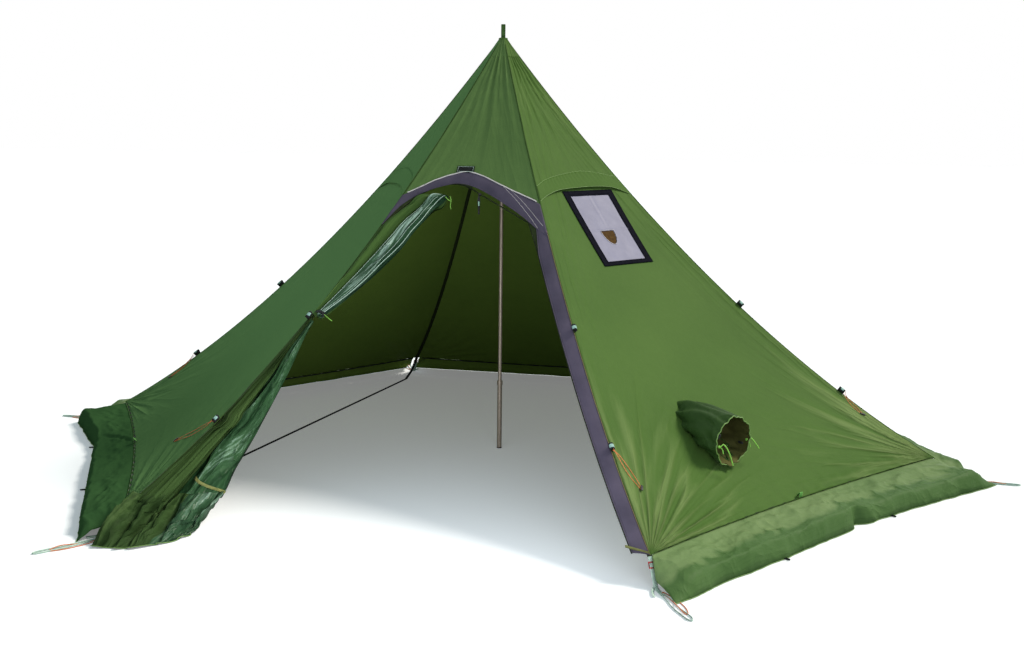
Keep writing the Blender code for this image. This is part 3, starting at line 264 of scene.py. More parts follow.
guylines = {}
for corner in GUYLINES:
    route = guyline_route(corner)
    line = drawn_line(f"{corner}_guy_cord", route, LINE_RADIUS, orange_braid)
    guylines[corner] = (line, route)
    fasten("orange_line", line)
    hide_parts(f"{corner}_guyline")


# Sides: five panels of thin green ripstop, coated on the inside. Their lower corners pull fans of
# shallow folds into the cloth, and the seams and the hem pucker it a little.
def cloth_finish(name, light, dark, gloss, shine=0.02, pulled=None, pale=(0.19, 0.27, 0.10), crumpled=0.5,
                 steep=None):
    """Woven cloth: a fine ripstop grid on the piece's own pattern, with soft changes of colour.
    Pulled cloth also has fine creases that spread from the two lower corners, from the peak and
    from the seams, in the three strengths given, with a painted highlight along their ridges, and the
    fourth is painted light that makes it paler towards the peak. Steep cloth gets painted shade from
    that pattern row on."""
    material, shader, add = new_material(name)
    flat = add("UVMap").outputs["UV"]
    solid = add("TexCoord").outputs["Object"]
    patch = add("TexNoise", Vector=solid, Scale=1.7, Detail=3.0, Roughness=0.55)
    grain = add("TexNoise", Vector=solid, Scale=38.0, Detail=4.0, Roughness=0.7)
    blend = add("Mix", {"data_type": "FLOAT"}, i0=0.3, i2=patch.outputs["Fac"], i3=grain.outputs["Fac"])
    colour = two_tone(add, blend.outputs[0], dark, light, 0.3, 0.72)
    squares = add("TexBrick", {"offset": 0.0}, Vector=flat, Scale=1.0, i1=(0, 0, 0, 1), i2=(0, 0, 0, 1),
                  Mortar=(1, 1, 1, 1), **{"Brick Width": 0.006, "Row Height": 0.006, "Mortar Size": 0.0004})
    tint = add("Mix", {"data_type": "RGBA", "blend_type": "MULTIPLY"}, i0=squares.outputs["Color"],
               i6=colour, i7=(0.86, 0.9, 0.84, 1))
    threads = add("TexNoise", Vector=flat, Scale=900.0, Detail=1.0)
    crinkle = add("TexNoise", Vector=solid, Scale=9.0, Detail=5.0, Roughness=0.62)
    if crumpled > 0.6:
        crinkle.noise_type = "RIDGED_MULTIFRACTAL"
        crinkle.inputs["Scale"].default_value = 4.5
        crinkle.inputs["Distortion"].default_value = 0.5
        crinkle.inputs["Offset"].default_value = 1.0
    fine = add("Bump", Strength=0.12, Distance=0.0004, Height=threads.outputs["Fac"])
    raised = add("Bump", Strength=0.25, Distance=0.0004, Height=squares.outputs["Color"],
                 Normal=fine.outputs["Normal"])
    relief = add("Bump", Strength=crumpled, Distance=0.006, Height=crinkle.outputs["Fac"],
                 Normal=raised.outputs["Normal"])
    if pulled:
        def maths(operation, first, second=0.0):
            return add("Math", {"operation": operation}, i0=first, i1=second).outputs[0]

        def times(first, second):
            return maths("MULTIPLY", first, second)

        def span(first, second):
            """Length of the step that has the two runs."""
            return maths("SQRT", maths("ADD", times(first, first), times(second, second)))

        def fade(value, start, end):
            """1 at start, falling softly to 0 at end."""
            smooth = {"interpolation_type": "SMOOTHSTEP"}
            return add("MapRange", smooth, i0=value, i1=end, i2=start).outputs[0]

        def grow(value, start, end):
            """0 at start, rising softly to 1 at end."""
            return maths("SUBTRACT", 1.0, fade(value, start, end))

        def creases(first, second, third, detail):
            route = add("CombineXYZ", i0=first, i1=second, i2=third).outputs[0]
            return add("TexNoise", {"noise_type": "RIDGED_MULTIFRACTAL"}, Vector=route, Scale=1.0,
                       Detail=detail, Roughness=0.45, Offset=1.0).outputs["Fac"]

        level, down = add("SeparateXYZ", i0=flat).outputs[:2]
        run = maths("SUBTRACT", HEM / 2, maths("ABSOLUTE", level))
        rise = maths("SUBTRACT", HEM * SLANT, down)
        far = span(run, rise)
        fan = creases(times(maths("ARCTAN2", rise, run), 9.5), times(far, 0.9), level, 3.0)
        fan = times(fan, times(fade(far, 0.15, 1.60), grow(far, 0.0, 0.10)))
        near = span(level, down)
        top_fan = creases(times(maths("ARCTAN2", level, down), 12.0), times(near, 0.8), 0.3, 2.0)
        top_fan = times(top_fan, times(fade(near, 0.10, 1.15), grow(near, 0.05, 0.45)))
        half_width = times(down, 0.4237)
        edge = maths("SUBTRACT", half_width, maths("ABSOLUTE", level))
        seam_pull = times(creases(times(edge, 16.0), times(down, 1.6), level, 2.0), fade(edge, 0.02, 0.34))
        total = maths("ADD", times(top_fan, pulled[1]), times(seam_pull, pulled[2]))
        total = maths("ADD", times(fan, pulled[0]), total)
        relief = add("Bump", Strength=0.65, Distance=0.020, Height=total, Normal=relief.outputs["Normal"])
        # Painted highlight along the crease ridges, and painted light that makes the cloth paler towards
        # the peak, both in the pale colour.
        streaks = add("MapRange", i0=total, i1=0.60, i2=1.7, i3=0.0, i4=0.75).outputs[0]
        painted_peak_light = times(fade(down, 1.4, 3.0), pulled[3])
        tint = add("Mix", {"data_type": "RGBA"}, i0=maths("ADD", streaks, painted_peak_light), i6=tint.outputs[2],
                   i7=(*pale, 1))
    # Painted shade: the steep outer part is darkened from the given pattern row on.
    if steep:
        down = add("SeparateXYZ", i0=flat).outputs[1]
        wander = add("Math", {"operation": "MULTIPLY_ADD"}, i0=crinkle.outputs["Fac"], i1=0.05, i2=down)
        low = add("MapRange", i0=wander.outputs[0], i1=steep, i2=steep + 0.045)
        tint = add("Mix", {"data_type": "RGBA", "blend_type": "MULTIPLY"}, i0=low.outputs[0],
                   i6=tint.outputs[2], i7=(0.46, 0.60, 0.47, 1))
    surface(shader, tint.outputs[2], gloss, relief, shine)
    return material


side_green = cloth_finish("side_green", (0.082, 0.158, 0.037), (0.063, 0.130, 0.029), 0.5,
                          pulled=(1.25, 0.40, 0.35, 0.03))
# Copy of the same cloth for the front, paler than side_green: painted light.
front_green = cloth_finish("front_green", (0.110, 0.202, 0.066), (0.086, 0.168, 0.052), 0.5,
                           pulled=(0.0, 0.16, 0.15, 0.12))
# Copy of the same cloth for the left side, paler than side_green and much paler towards the peak: painted
# light for the side in shade.
left_painted_light_green = cloth_finish("left_painted_light_green", (0.106, 0.214, 0.080), (0.088, 0.184, 0.067), 0.5, shine=0.0,
                          pulled=(0.26, 0.12, 0.22, 0.80), pale=(0.178, 0.352, 0.128))
outer_green = cloth_finish("outer_green", (0.082, 0.158, 0.037), (0.063, 0.130, 0.029), 0.5)
# Copy of the cloth for the left hood, much paler than outer_green: painted light for the side in shade.
shade_green = cloth_finish("shade_green", (0.166, 0.328, 0.120), (0.148, 0.298, 0.107), 0.5, shine=0.0)
# Inside of the cloth, paler than its outside: painted light that stands in for light coming through the
# thin cloth.
inner_green = cloth_finish("inner_green", (0.170, 0.270, 0.050), (0.140, 0.232, 0.043), 0.5)
PANEL_GAP = 0.0035
CLOTH_TOP = 0.036


def made_piece(name, body, materials):
    """Piece of a finished body."""
    mesh = bpy.data.meshes.new(name)
    body.to_mesh(mesh)
    body.free()
    for material in materials:
        mesh.materials.append(material)
    thing = bpy.data.objects.new(name, mesh)
    bpy.context.scene.collection.objects.link(thing)
    return thing


def reworked(thing, work):
    """Runs a step of work on a piece's mesh."""
    body = bmesh.new()
    body.from_mesh(thing.data)
    work(body)
    body.to_mesh(thing.data)
    body.free()


def cut_out(thing, inside):
    """Cuts away the faces whose middle is inside."""
    reworked(thing, lambda body: bmesh.ops.delete(
        body, geom=[face for face in body.faces if inside(face.calc_center_median())], context="FACES"))


def close_seam(thing):
    """Joins the two edges of a tube where they meet."""
    reworked(thing, lambda body: bmesh.ops.remove_doubles(body, verts=body.verts, dist=1e-5))


def thicken(thing, thickness, offset=-1.0):
    """Gives a cloth its thickness, to its back unless the offset says otherwise."""
    wall = thing.modifiers.new("cloth", "SOLIDIFY")
    wall.thickness = thickness
    wall.offset = offset
    return wall


def plain(width, length):
    """Pattern of a plain rectangle of cloth."""
    return lambda column, row: (column * width, row * length)


def flat_cloth(name, columns, rows, place, pattern, away, materials, thickness=0.0007):
    """Sheet of cloth: place gives its points and pattern their place on the cut cloth, in metres."""
    body = bmesh.new()
    bmesh.ops.create_grid(body, x_segments=columns, y_segments=rows, size=0.5)
    layer = body.loops.layers.uv.new("pattern")
    shares = [(point.co.x + 0.5, point.co.y + 0.5) for point in body.verts]
    body.verts.ensure_lookup_table()
    for face in body.faces:
        for loop in face.loops:
            loop[layer].uv = pattern(*shares[loop.vert.index])
    for point, share in zip(body.verts, shares):
        point.co = place(*share)
    body.normal_update()
    if sum(face.normal.dot(away(face.calc_center_median())) for face in body.faces) < 0:
        bmesh.ops.reverse_faces(body, faces=body.faces)
    thing = made_piece(name, body, materials)
    thing.data.shade_smooth()
    if thickness:
        wall = thicken(thing, thickness)
        if len(materials) > 1:
            wall.material_offset = 1
    return thing


def from_middle(point):
    return Vector((point.x, point.y, 0.6 * point.to_2d().length + 0.1))


def drift(*place):
    """Soft random height at a place, the same in each run."""
    return noise.noise(Vector(place))


def wave(value, seed):
    """Soft random height along one line."""
    return drift(value, seed * 7.3, 0.5)


def ripple(turns):
    return math.cos(math.tau * turns)


def arched(share):
    """0 at both ends and 1 in the middle."""
    return math.sin(math.pi * share)


def bell(distance, width):
    """1 at no distance, falling off over the width."""
    return math.exp(-((distance / width) ** 2))


def side_folds(side, reach, share):
    """Height of the folds above the smooth skin of a side."""
    across = (share - 0.5) * reach
    up = (HEM - reach) * SLANT
    edge = min(share, 1 - share) * reach * MIDDLE_OUT
    seed = side / 17.0
    height = 0.0035 * drift(across * 1.6, up * 1.3, seed)
    height += 0.0012 * drift(across * 6.0, up * 4.0, seed + 3)
    for end, strength in ((-1, 1.0), (1, 0.75)):
        level_run = HEM / 2 - end * across
        far = math.hypot(level_run, up) + 1e-6
        angle = math.atan2(up, max(level_run, 1e-6)) / 1.17
        grown = min(far / 0.16, 1.0) * bell(far, 0.62)
        swing = angle * 6.0 + 0.7 * wave(far * 3 + angle * 5, seed + end)
        folds = ripple(swing) * 0.65 + ripple(swing * 1.63 + 0.2) * 0.35
        height += strength * 0.0070 * grown * folds
    height += 0.0022 * math.exp(-edge / 0.07) * ripple(reach / 0.085 + 0.9 * wave(reach * 4, seed))
    height += 0.0030 * math.exp(-up / 0.09) * ripple(across / 0.10 + wave(across * 3, seed))
    height += 0.0050 * math.exp(-reach / 0.32) * ripple(share * 6.5 + 0.4 * wave(reach * 5, seed))
    return height * min(edge / 0.03, 1.0) * min(reach / 0.15, 1.0)


SLEEVE_REACH, SLEEVE_ACROSS, SLEEVE_RADIUS = 1.99, 0.29, 0.112
JACK_ACROSS, JACK_REACH, JACK_WIDE, JACK_TALL = -0.035, 0.915, 0.40, 0.49


def in_sleeve_hole(point):
    off = point - skin_at(SIDES["right"], SLEEVE_ACROSS, SLEEVE_REACH)
    return math.hypot(off.dot(heading(SIDES["right"] + 90)), off.z) < SLEEVE_RADIUS - 0.026


def in_jack_hole(point):
    off = point - skin_at(SIDES["right"], JACK_ACROSS, JACK_REACH)
    across = off.dot(heading(SIDES["right"] + 90))
    steeply = abs(off.length**2 - across**2) ** 0.5
    return abs(across) < JACK_WIDE / 2 - 0.03 and steeply < JACK_TALL / 2 - 0.02


def panel_reach(row):
    return CLOTH_TOP + (HEM - CLOTH_TOP) * row


for name, side in SIDES.items():
    def place(column, row, side=side):
        reach = panel_reach(row)
        border = PANEL_GAP / (reach * MIDDLE_OUT)
        share = border + (1 - 2 * border) * column
        lift = side_folds(side, reach, share)
        across = (share - 0.5) * reach
        if side == SIDES["right"]:
            off = skin(side, reach, share) - skin_at(side, SLEEVE_ACROSS, SLEEVE_REACH)
            far = off.length
            turn = math.atan2(off.z, off.dot(heading(side + 90)))
            strength = 0.004 * math.exp(-max(far - SLEEVE_RADIUS, 0) / 0.10) * min(far / 0.05, 1)
            lift += strength * math.cos(turn * 9 + 1.5)
            frame_off = max(abs(across - JACK_ACROSS) / (JACK_WIDE / 2),
                            abs(reach - JACK_REACH) * 1.2 / (JACK_TALL / 2))
            if frame_off < 1.35:
                lift *= max(frame_off - 1.0, 0) / 0.35
            if far < SLEEVE_RADIUS + 0.012:
                lift = min(lift, 0.0)
        return skin(side, reach, share, lift)

    fine = name in ("right", "left")
    panel = flat_cloth(
        f"{name}_panel", 160 if fine else 110, 200 if fine else 130, place,
        lambda column, row: ((column - 0.5) * panel_reach(row), panel_reach(row) * SLANT),
        from_middle, [left_painted_light_green if name == "left" else side_green, inner_green],
    )
    if name == "right":
        cut_out(panel, lambda point: in_sleeve_hole(point) or in_jack_hole(point))
    fasten("green_cloth", panel)
    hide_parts(f"{name}_side")


# Front side: the short piece of the same cloth above the doorway. Its lower edge is cut to the
# arch, which is highest a little left of the middle.
ARCH_TOP = [(-0.02, 0.800), (0.04, 0.774), (0.27, 0.707), (0.44, 0.662), (0.56, 0.646), (0.66, 0.653),
            (0.81, 0.687), (0.98, 0.755), (1.02, 0.772)]
ARCH_FOOT = [(-0.02, 0.935), (0.03, 0.925), (0.089, 0.881), (0.166, 0.832), (0.267, 0.785),
             (0.384, 0.741), (0.50, 0.712), (0.60, 0.700), (0.68, 0.704), (0.83, 0.738), (0.96, 0.812),
             (1.0, 0.917), (1.02, 0.96)]


def arch_reach(knots, share):
    """Reach of an arch line at a share, on a smooth curve through its knots."""
    index = next(i for i in range(1, len(knots)) if knots[i][0] >= share - 1e-9)
    before, after = knots[index - 1], knots[index]
    first = knots[max(index - 2, 0)]
    last = knots[min(index + 1, len(knots) - 1)]
    run = after[0] - before[0]
    t = (share - before[0]) / run
    slope_in = (after[1] - first[1]) / max(after[0] - first[0], 1e-6) * run
    slope_out = (last[1] - before[1]) / max(last[0] - before[0], 1e-6) * run
    return (
        (2 * t**3 - 3 * t**2 + 1) * before[1] + (t**3 - 2 * t**2 + t) * slope_in
        + (3 * t**2 - 2 * t**3) * after[1] + (t**3 - t**2) * slope_out
    )


def front_reach(column, row):
    border = 0.006
    share = border + (1 - 2 * border) * column
    return CLOTH_TOP + (arch_reach(ARCH_TOP, share) + 0.012 - CLOTH_TOP) * row


def front_place(column, row):
    reach = front_reach(column, row)
    border = PANEL_GAP / (reach * MIDDLE_OUT)
    share = border + (1 - 2 * border) * column
    lift = side_folds(FRONT, reach, share)
    tension = math.exp(-reach / 0.5) * 0.003
    lift += tension * ripple(share * 4 + 0.3) * min(share, 1 - share) * 4
    return skin(FRONT, reach, share, lift * (1 - 0.7 * row))


def front_pattern(column, row):
    reach = front_reach(column, row)
    return (column - 0.5) * reach, reach * SLANT


front_panel = flat_cloth("front_panel", 90, 60, front_place, front_pattern, from_middle,
                         [front_green, inner_green])
fasten("green_cloth", front_panel)
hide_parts("front_side")


# Ridge seams: the sides are joined in narrow felled seams, which stand up a little and wander
# slightly, over a dark tape inside. They take all the pull from the peak to the corners.
seam_green, shader, add = new_material("seam_green")
solid = add("TexCoord").outputs["Object"]
patch = add("TexNoise", Vector=solid, Scale=14.0, Detail=3.0)
colour = two_tone(add, patch.outputs["Fac"], (0.028, 0.064, 0.016), (0.058, 0.112, 0.028))
flat = add("UVMap").outputs["UV"]
stitch = add("TexBrick", {"offset": 0.0}, Vector=flat, Scale=1.0,
             **{"Brick Width": 0.0032, "Row Height": 0.0045, "Mortar Size": 0.0006})
bump = add("Bump", Strength=0.2, Distance=0.0004, Height=stitch.outputs["Color"])
surface(shader, colour, 0.6, bump, shine=0.03)


def web_finish(name, light, dark, roughness=0.75, shine=0.06):
    """Woven webbing: ribs across its length with a little unevenness."""
    material, shader, add = new_material(name)
    flat = add("UVMap").outputs["UV"]
    ribs = add("TexWave", {"wave_type": "BANDS", "bands_direction": "X"}, Vector=flat, Scale=260.0,
               Distortion=0.6)
    fuzz = add("TexNoise", Vector=add("TexCoord").outputs["Object"], Scale=60.0, Detail=4.0)
    colour = two_tone(add, fuzz.outputs["Fac"], dark, light, 0.3, 0.7)
    bump = add("Bump", Strength=0.4, Distance=0.0004, Height=ribs.outputs["Color"])
    surface(shader, colour, roughness, bump, shine)
    return material


tape_web = web_finish("seam_tape", (0.032, 0.046, 0.018), (0.018, 0.028, 0.010))
black_web = web_finish("black_web", (0.030, 0.033, 0.036), (0.010, 0.012, 0.012))
mint_web = web_finish("mint_web", (0.60, 0.78, 0.68), (0.42, 0.60, 0.52), 0.45)
stripe_web = web_finish("reflecting_stripe", (0.34, 0.54, 0.50), (0.22, 0.38, 0.36), 0.4)
SEAM_STEPS = 140
SEAM_TOP = 0.045


def seam_reach(row):
    return SEAM_TOP + (HEM - SEAM_TOP) * row


for corner, degrees in CORNERS.items():
    aside = heading(degrees + 90)

    def seam_place(column, row, degrees=degrees, aside=aside):
        reach = seam_reach(row)
        turn = math.pi * column
        wander = 0.0016 * drift(reach * 9, degrees, 1)
        spot = ridge_point(degrees, reach, 0.0028 * math.sin(turn) - 0.0010)
        return spot + aside * (wander + 0.0036 * math.cos(turn))

    def tape_place(column, row, degrees=degrees, aside=aside):
        spot = ridge_point(degrees, seam_reach(row), -0.0075 - 0.003 * abs(2 * column - 1))
        return spot + aside * 0.022 * (column - 0.5)

    seam = flat_cloth(f"{corner}_seam", 8, SEAM_STEPS, seam_place,
                      lambda column, row: (seam_reach(row) * 1.3, column * 0.016),
                      from_middle, [seam_green], 0.0)
    tape = flat_cloth(f"{corner}_seam_tape", 2, SEAM_STEPS, tape_place,
                      lambda column, row: (seam_reach(row) * 1.3, column * 0.022),
                      lambda point: -from_middle(point), [tape_web], 0.001)
    fasten("green_cloth", seam)
    fasten("black_webbing", tape)
    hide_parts(f"{corner}_ridge_seam")


# Guy tabs: two loops of black webbing with a pale reflecting stripe are sewn across each ridge. The
# upper one is free, and the guyline is tied to the lower one.
UPPER_TAB = 1.385


def strip(name, points, across, thickness, material, columns=4):
    """Flat webbing through points; across gives the half width's direction at each."""
    count = len(points) - 1
    runs = [0.0]
    for before, after in zip(points, points[1:]):
        runs.append(runs[-1] + (after - before).length)

    def place(column, row):
        index = round(row * count)
        return points[index] + across(index) * (2 * column - 1)

    wide = across(0).length * 2
    return flat_cloth(name, columns, count, place,
                      lambda column, row: (runs[round(row * count)], column * wide),
                      lambda point: Vector((0, 0, 1)), [material], thickness)


for corner, degrees in CORNERS.items():
    for label, reach in (("upper", UPPER_TAB), ("lower", LOWER_TAB)):
        out = ridge_point(degrees, reach, 1.0) - ridge_point(degrees, reach)
        along = ridge_along(degrees, reach)
        aside = heading(degrees + 90)
        base = ridge_point(degrees, reach)
        loop = []
        for step in range(19):
            swing = -0.62 * math.pi + 1.24 * math.pi * step / 18
            wide = 0.0120 if abs(swing) < 1.35 else 0.0070
            loop.append(base + out * (0.0150 + 0.0120 * math.cos(swing)) + aside * (wide * math.sin(swing)))
        loop.insert(0, base + out * 0.002 - aside * 0.0028)
        loop.append(base + out * 0.002 + aside * 0.0028)
        band = strip(f"{corner}_{label}_tab", loop, lambda index: along * 0.0185, 0.0012, black_web)
        stripe_loop = [point + (point - base - out * 0.012) * 0.05 for point in loop[3:-3]]
        stripe = strip(f"{corner}_{label}_tab_stripe", stripe_loop, lambda index: along * 0.0095, 0.0004,
                       stripe_web)
        fasten("black_webbing", band)
        fasten("pale_webbing", stripe)


# Snow skirts: a strip of the same cloth is sewn to each hem. It stands out from the hem, breaks in
# a soft uneven fold and falls to the ground, with a thin piped edge.
def cord_finish(name, dark, light, scale, detail, roughness):
    """Thin cord or piping, a little uneven in colour."""
    material, shader, add = new_material(name)
    fuzz = add("TexNoise", Vector=add("TexCoord").outputs["Object"], Scale=scale, Detail=detail)
    surface(shader, two_tone(add, fuzz.outputs["Fac"], dark, light), roughness)
    return material


piping = cord_finish("skirt_piping", (0.10, 0.21, 0.045), (0.19, 0.34, 0.09), 70.0, 3.0, 0.5)
# Skirt copy of the cloth, paler and greyer than the sides: painted reflection of the pale sky on its flat
# top, with painted shade on its steep outer part.
skirt_green = cloth_finish("skirt_green", (0.195, 0.280, 0.122), (0.118, 0.198, 0.074), 0.45, shine=0.04,
                           crumpled=0.8, steep=0.205)
# Darker copy of the skirt cloth for the left skirt: painted shade.
left_painted_shade_skirt = cloth_finish("left_painted_shade_skirt", (0.040, 0.100, 0.036), (0.029, 0.080, 0.028), 0.5, shine=0.0,
                          crumpled=0.5)
CREASE_AT_HEM = 0.55


def creased(*place):
    """Height of crumpled cloth at a place: sharp ridges between shallow hollows."""
    return 0.42 - abs(drift(*place)) * 1.3 - 0.5 * abs(noise.noise(Vector(place) * 2.3))


# How far the skirts reach out from their hems, as pairs of share and distance.
SKIRT_RUNS = {
    SIDES["right"]: [(0, 0.31), (0.05, 0.305), (0.17, 0.262), (0.28, 0.222), (0.44, 0.202), (0.60, 0.214),
                     (0.70, 0.227), (0.90, 0.232), (0.96, 0.250), (1.0, 0.240)],
    SIDES["left"]: [(0, 0.225), (0.13, 0.219), (0.30, 0.209), (0.53, 0.198), (0.71, 0.192), (0.80, 0.240),
                    (0.94, 0.305), (1.0, 0.26)],
}


def skirt_run(side, share):
    knots = SKIRT_RUNS.get(side, [(0, 0.23), (1, 0.23)])
    for before, after in zip(knots, knots[1:]):
        if share <= after[0]:
            part = (share - before[0]) / (after[0] - before[0])
            return before[1] + (after[1] - before[1]) * part
    return knots[-1][1]


def skirt_place(side, column, row):
    """Row 0 is the hem, row 1 the outer edge."""
    share = 0.012 + (0.983 if side == SIDES["right"] else 0.976) * column
    across = (share - 0.5) * HEM
    seed = side / 9.0
    hem = skin(side, HEM + 0.001, share)
    outer = heading(side - 30).lerp(heading(side + 30), share) * (HEM + skirt_run(side, share) / MIDDLE_OUT)
    inside = min(min(share, 1 - share) / 0.06, 1.0) ** 0.55
    fold = 0.20 + (0.62 + 0.06 * wave(across * 1.9, seed) + 0.05 * wave(across * 5.5, seed + 1)) * inside
    fold += 0.075 * creased(across * 8.0, seed, 2.0) * inside
    crest = (0.088 + 0.024 * wave(across * 2.7, seed + 2)) * inside + 0.008
    if row < fold:
        run = row / fold
        height = hem.z + (crest - hem.z) * (run - 0.14 * arched(run) * (1 - run))
        height += 0.020 * arched(run**0.8) * creased(across * 4.2, run * 1.9, seed)
        height += 0.009 * arched(run) * creased(across * 13.0, run * 4.0, seed)
    else:
        run = (row - fold) / (1 - fold)
        height = crest * (1 - run**2.2) + 0.0016
        height += 0.010 * arched(run) * creased(across * 10.0, run * 1.4, seed + 4)
    pull = 0.012 * wave(across * 4.2, seed + 5) * row + 0.008 * wave(across * 13.0, seed + 6) * row**3
    spot = hem.lerp(outer, row - 0.02 * row) - heading(side) * abs(pull)
    if side == SIDES["right"]:
        notch = bell(share - 0.445, 0.016)
        spot -= heading(side) * 0.036 * notch * row**2
        bulge = arched(row**0.7) * max((share - 0.93) / 0.065, 0.0) ** 2
        spot += heading(side + 90) * 0.016 * bulge
        height += 0.010 * bell(share - 0.43, 0.020) * arched(row)
    if side == SIDES["left"]:
        crease = CREASE_AT_HEM + (0.705 - CREASE_AT_HEM) * row
        step = min(max((share - crease) / 0.010, 0.0), 1.0)
        fading = math.exp(-max(share - crease - 0.01, 0) / 0.07)
        height += 0.020 * step * fading * arched(min(row + 0.2, 1.0))
    if row > 0:
        spot.z = max(height, 0.0014)
    return spot


bright_web = web_finish("bright_webbing", (0.20, 0.48, 0.14), (0.12, 0.34, 0.085))
for name, side in SIDES.items():
    skirt = flat_cloth(
        f"{name}_snow_skirt", 260, 32, lambda column, row: skirt_place(side, column, row),
        plain(2.5, 0.27), from_middle, [left_painted_shade_skirt if name == "left" else skirt_green, inner_green],
    )
    rim = [skirt_place(side, step / 200, 1.0) + Vector((0, 0, 0.0012)) for step in range(201)]
    edge = drawn_line(f"{name}_skirt_piping", rim, 0.0020, piping, 1)
    outside = [skin(side, HEM - 0.001, 0.012 + 0.976 * step / 120, 0.0038) for step in range(121)]
    hem_line = drawn_line(f"{name}_hem_piping", outside, 0.0015, seam_green, 1)
    within = [skin(side, HEM - 0.006, 0.02 + 0.96 * step / 80, -0.0050) for step in range(81)]
    hem_tape = drawn_line(f"{name}_hem_tape", within, 0.0040, black_web, 1)
    fasten("green_cloth", skirt, edge, hem_line)
    fasten("black_webbing", hem_tape)
    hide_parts(f"{name}_skirt")
    away = heading(side)
    for number, share in enumerate((0.34, 0.70)):
        foot = skirt_place(side, share, 1.0)
        arc = [foot + away * (0.030 * abs(arched(t / 12)) ** 0.8 - 0.004)
               + heading(side + 90) * 0.006 * math.cos(math.pi * t / 12) + Vector((0, 0, 0.004))
               for t in range(13)]
        loop = strip(f"{name}_peg_loop_{number}", arc, lambda index: Vector((0, 0, 0.0028)), 0.001,
                     black_web, 2)
        fasten("black_webbing", loop)
    if name in ("right", "left"):
        middle = {"right": 0.506, "left": 0.523}[name]
        arc = [skin(side, HEM - 0.020 + 0.018 * t / 6, middle, 0.003 + 0.026 * arched(t / 6))
               for t in range(7)]
        pull = strip(f"{name}_hem_pull", arc, lambda index: heading(side + 90) * 0.013, 0.001, bright_web)
        fasten("green_cloth", pull)


# Arch band: a curved facing of grey-purple cloth over the doorway, with white piping along its
# upper edge. It goes on as a straight band down the right side of the doorway.
def trim_finish(name, light, dark):
    material, shader, add = new_material(name)
    solid = add("TexCoord").outputs["Object"]
    patch = add("TexNoise", Vector=solid, Scale=6.0, Detail=4.0, Roughness=0.6)
    colour = two_tone(add, patch.outputs["Fac"], dark, light, 0.3, 0.7)
    weave = add("TexNoise", Vector=add("UVMap").outputs["UV"], Scale=700.0, Detail=2.0)
    crease = add("TexNoise", Vector=solid, Scale=24.0, Detail=4.0)
    fine = add("Bump", Strength=0.2, Distance=0.0004, Height=weave.outputs["Fac"])
    bump = add("Bump", Strength=0.35, Distance=0.003, Height=crease.outputs["Fac"],
               Normal=fine.outputs["Normal"])
    surface(shader, colour, 0.62, bump, shine=0.2)
    return material


grey_cloth = trim_finish("grey_facing", (0.080, 0.069, 0.110), (0.052, 0.046, 0.076))
white_cord = cord_finish("white_piping", (0.42, 0.40, 0.40), (0.86, 0.84, 0.86), 45.0, 4.0, 0.55)


def arch_place(column, row):
    share = 0.004 + 0.992 * column
    top, foot = arch_reach(ARCH_TOP, share), arch_reach(ARCH_FOOT, share)
    belly = 0.004 * arched(row) + 0.002 * drift(share * 14, row * 1.5, 2)
    return skin(FRONT, top + (foot - top) * row, share, 0.0030 + belly)


def along_row(place, row, count, lift=0.0):
    """Points along one row of a cloth, or a little above it."""
    return [place(step / count, row) + Vector((0, 0, lift)) for step in range(count + 1)]


def between(start, end, share):
    """Pair of numbers at a share of the way from one pair to the other."""
    return [one + (two - one) * share for one, two in zip(start, end)]


arch = flat_cloth("arch_band", 110, 14, arch_place, plain(0.8, 0.09),
                  from_middle, [grey_cloth, grey_cloth], 0.0022)
cord_route = [arch_place(0.02 + 0.955 * step / 90, -0.02) + Vector((0, 0, 0.001)) for step in range(91)]
arch_cord = drawn_line("arch_piping", cord_route, 0.0032, white_cord)
arch_edge = drawn_line("arch_lower_edge", along_row(arch_place, 1.0, 90), 0.0028, grey_cloth, 1)
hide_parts("arch_trim")
fasten("grey_trim", arch, arch_cord, arch_edge)
for number, (start, end) in enumerate((((0.26, 0.0), (0.05, 0.95)), ((0.20, 0.0), (0.015, 0.75)))):
    route = [arch_place(*between(start, end, t / 16)) for t in range(17)]
    line = drawn_line(f"arch_seam_{number}", route, 0.0007, white_cord, 1)
    fasten("grey_trim", line)


# Side band: the same facing runs straight down the right edge of the doorway to the corner. Its
# outer edge carries a thin tan line, and a short olive ribbon hangs at its foot.
tan_cord = cord_finish("tan_edging", (0.16, 0.085, 0.035), (0.34, 0.22, 0.11), 30.0, 4.0, 0.6)


def side_band_place(column, row):
    """Column 0 lies at the ridge seam, column 1 at the doorway."""
    top = 0.868 + 0.045 * (1 - column)
    reach = top + (HEM - top) * row
    width = 0.066 * min(1.0, 0.6 + row * 4)
    share = (0.0014 + width * column) / (reach * MIDDLE_OUT)
    crease = 0.0022 * drift(reach * 6, column * 1.2, 5) + 0.0016 * drift(reach * 16, column, 6)
    return skin(FRONT, reach, share, 0.0012 + (0.003 + crease) * arched(column))


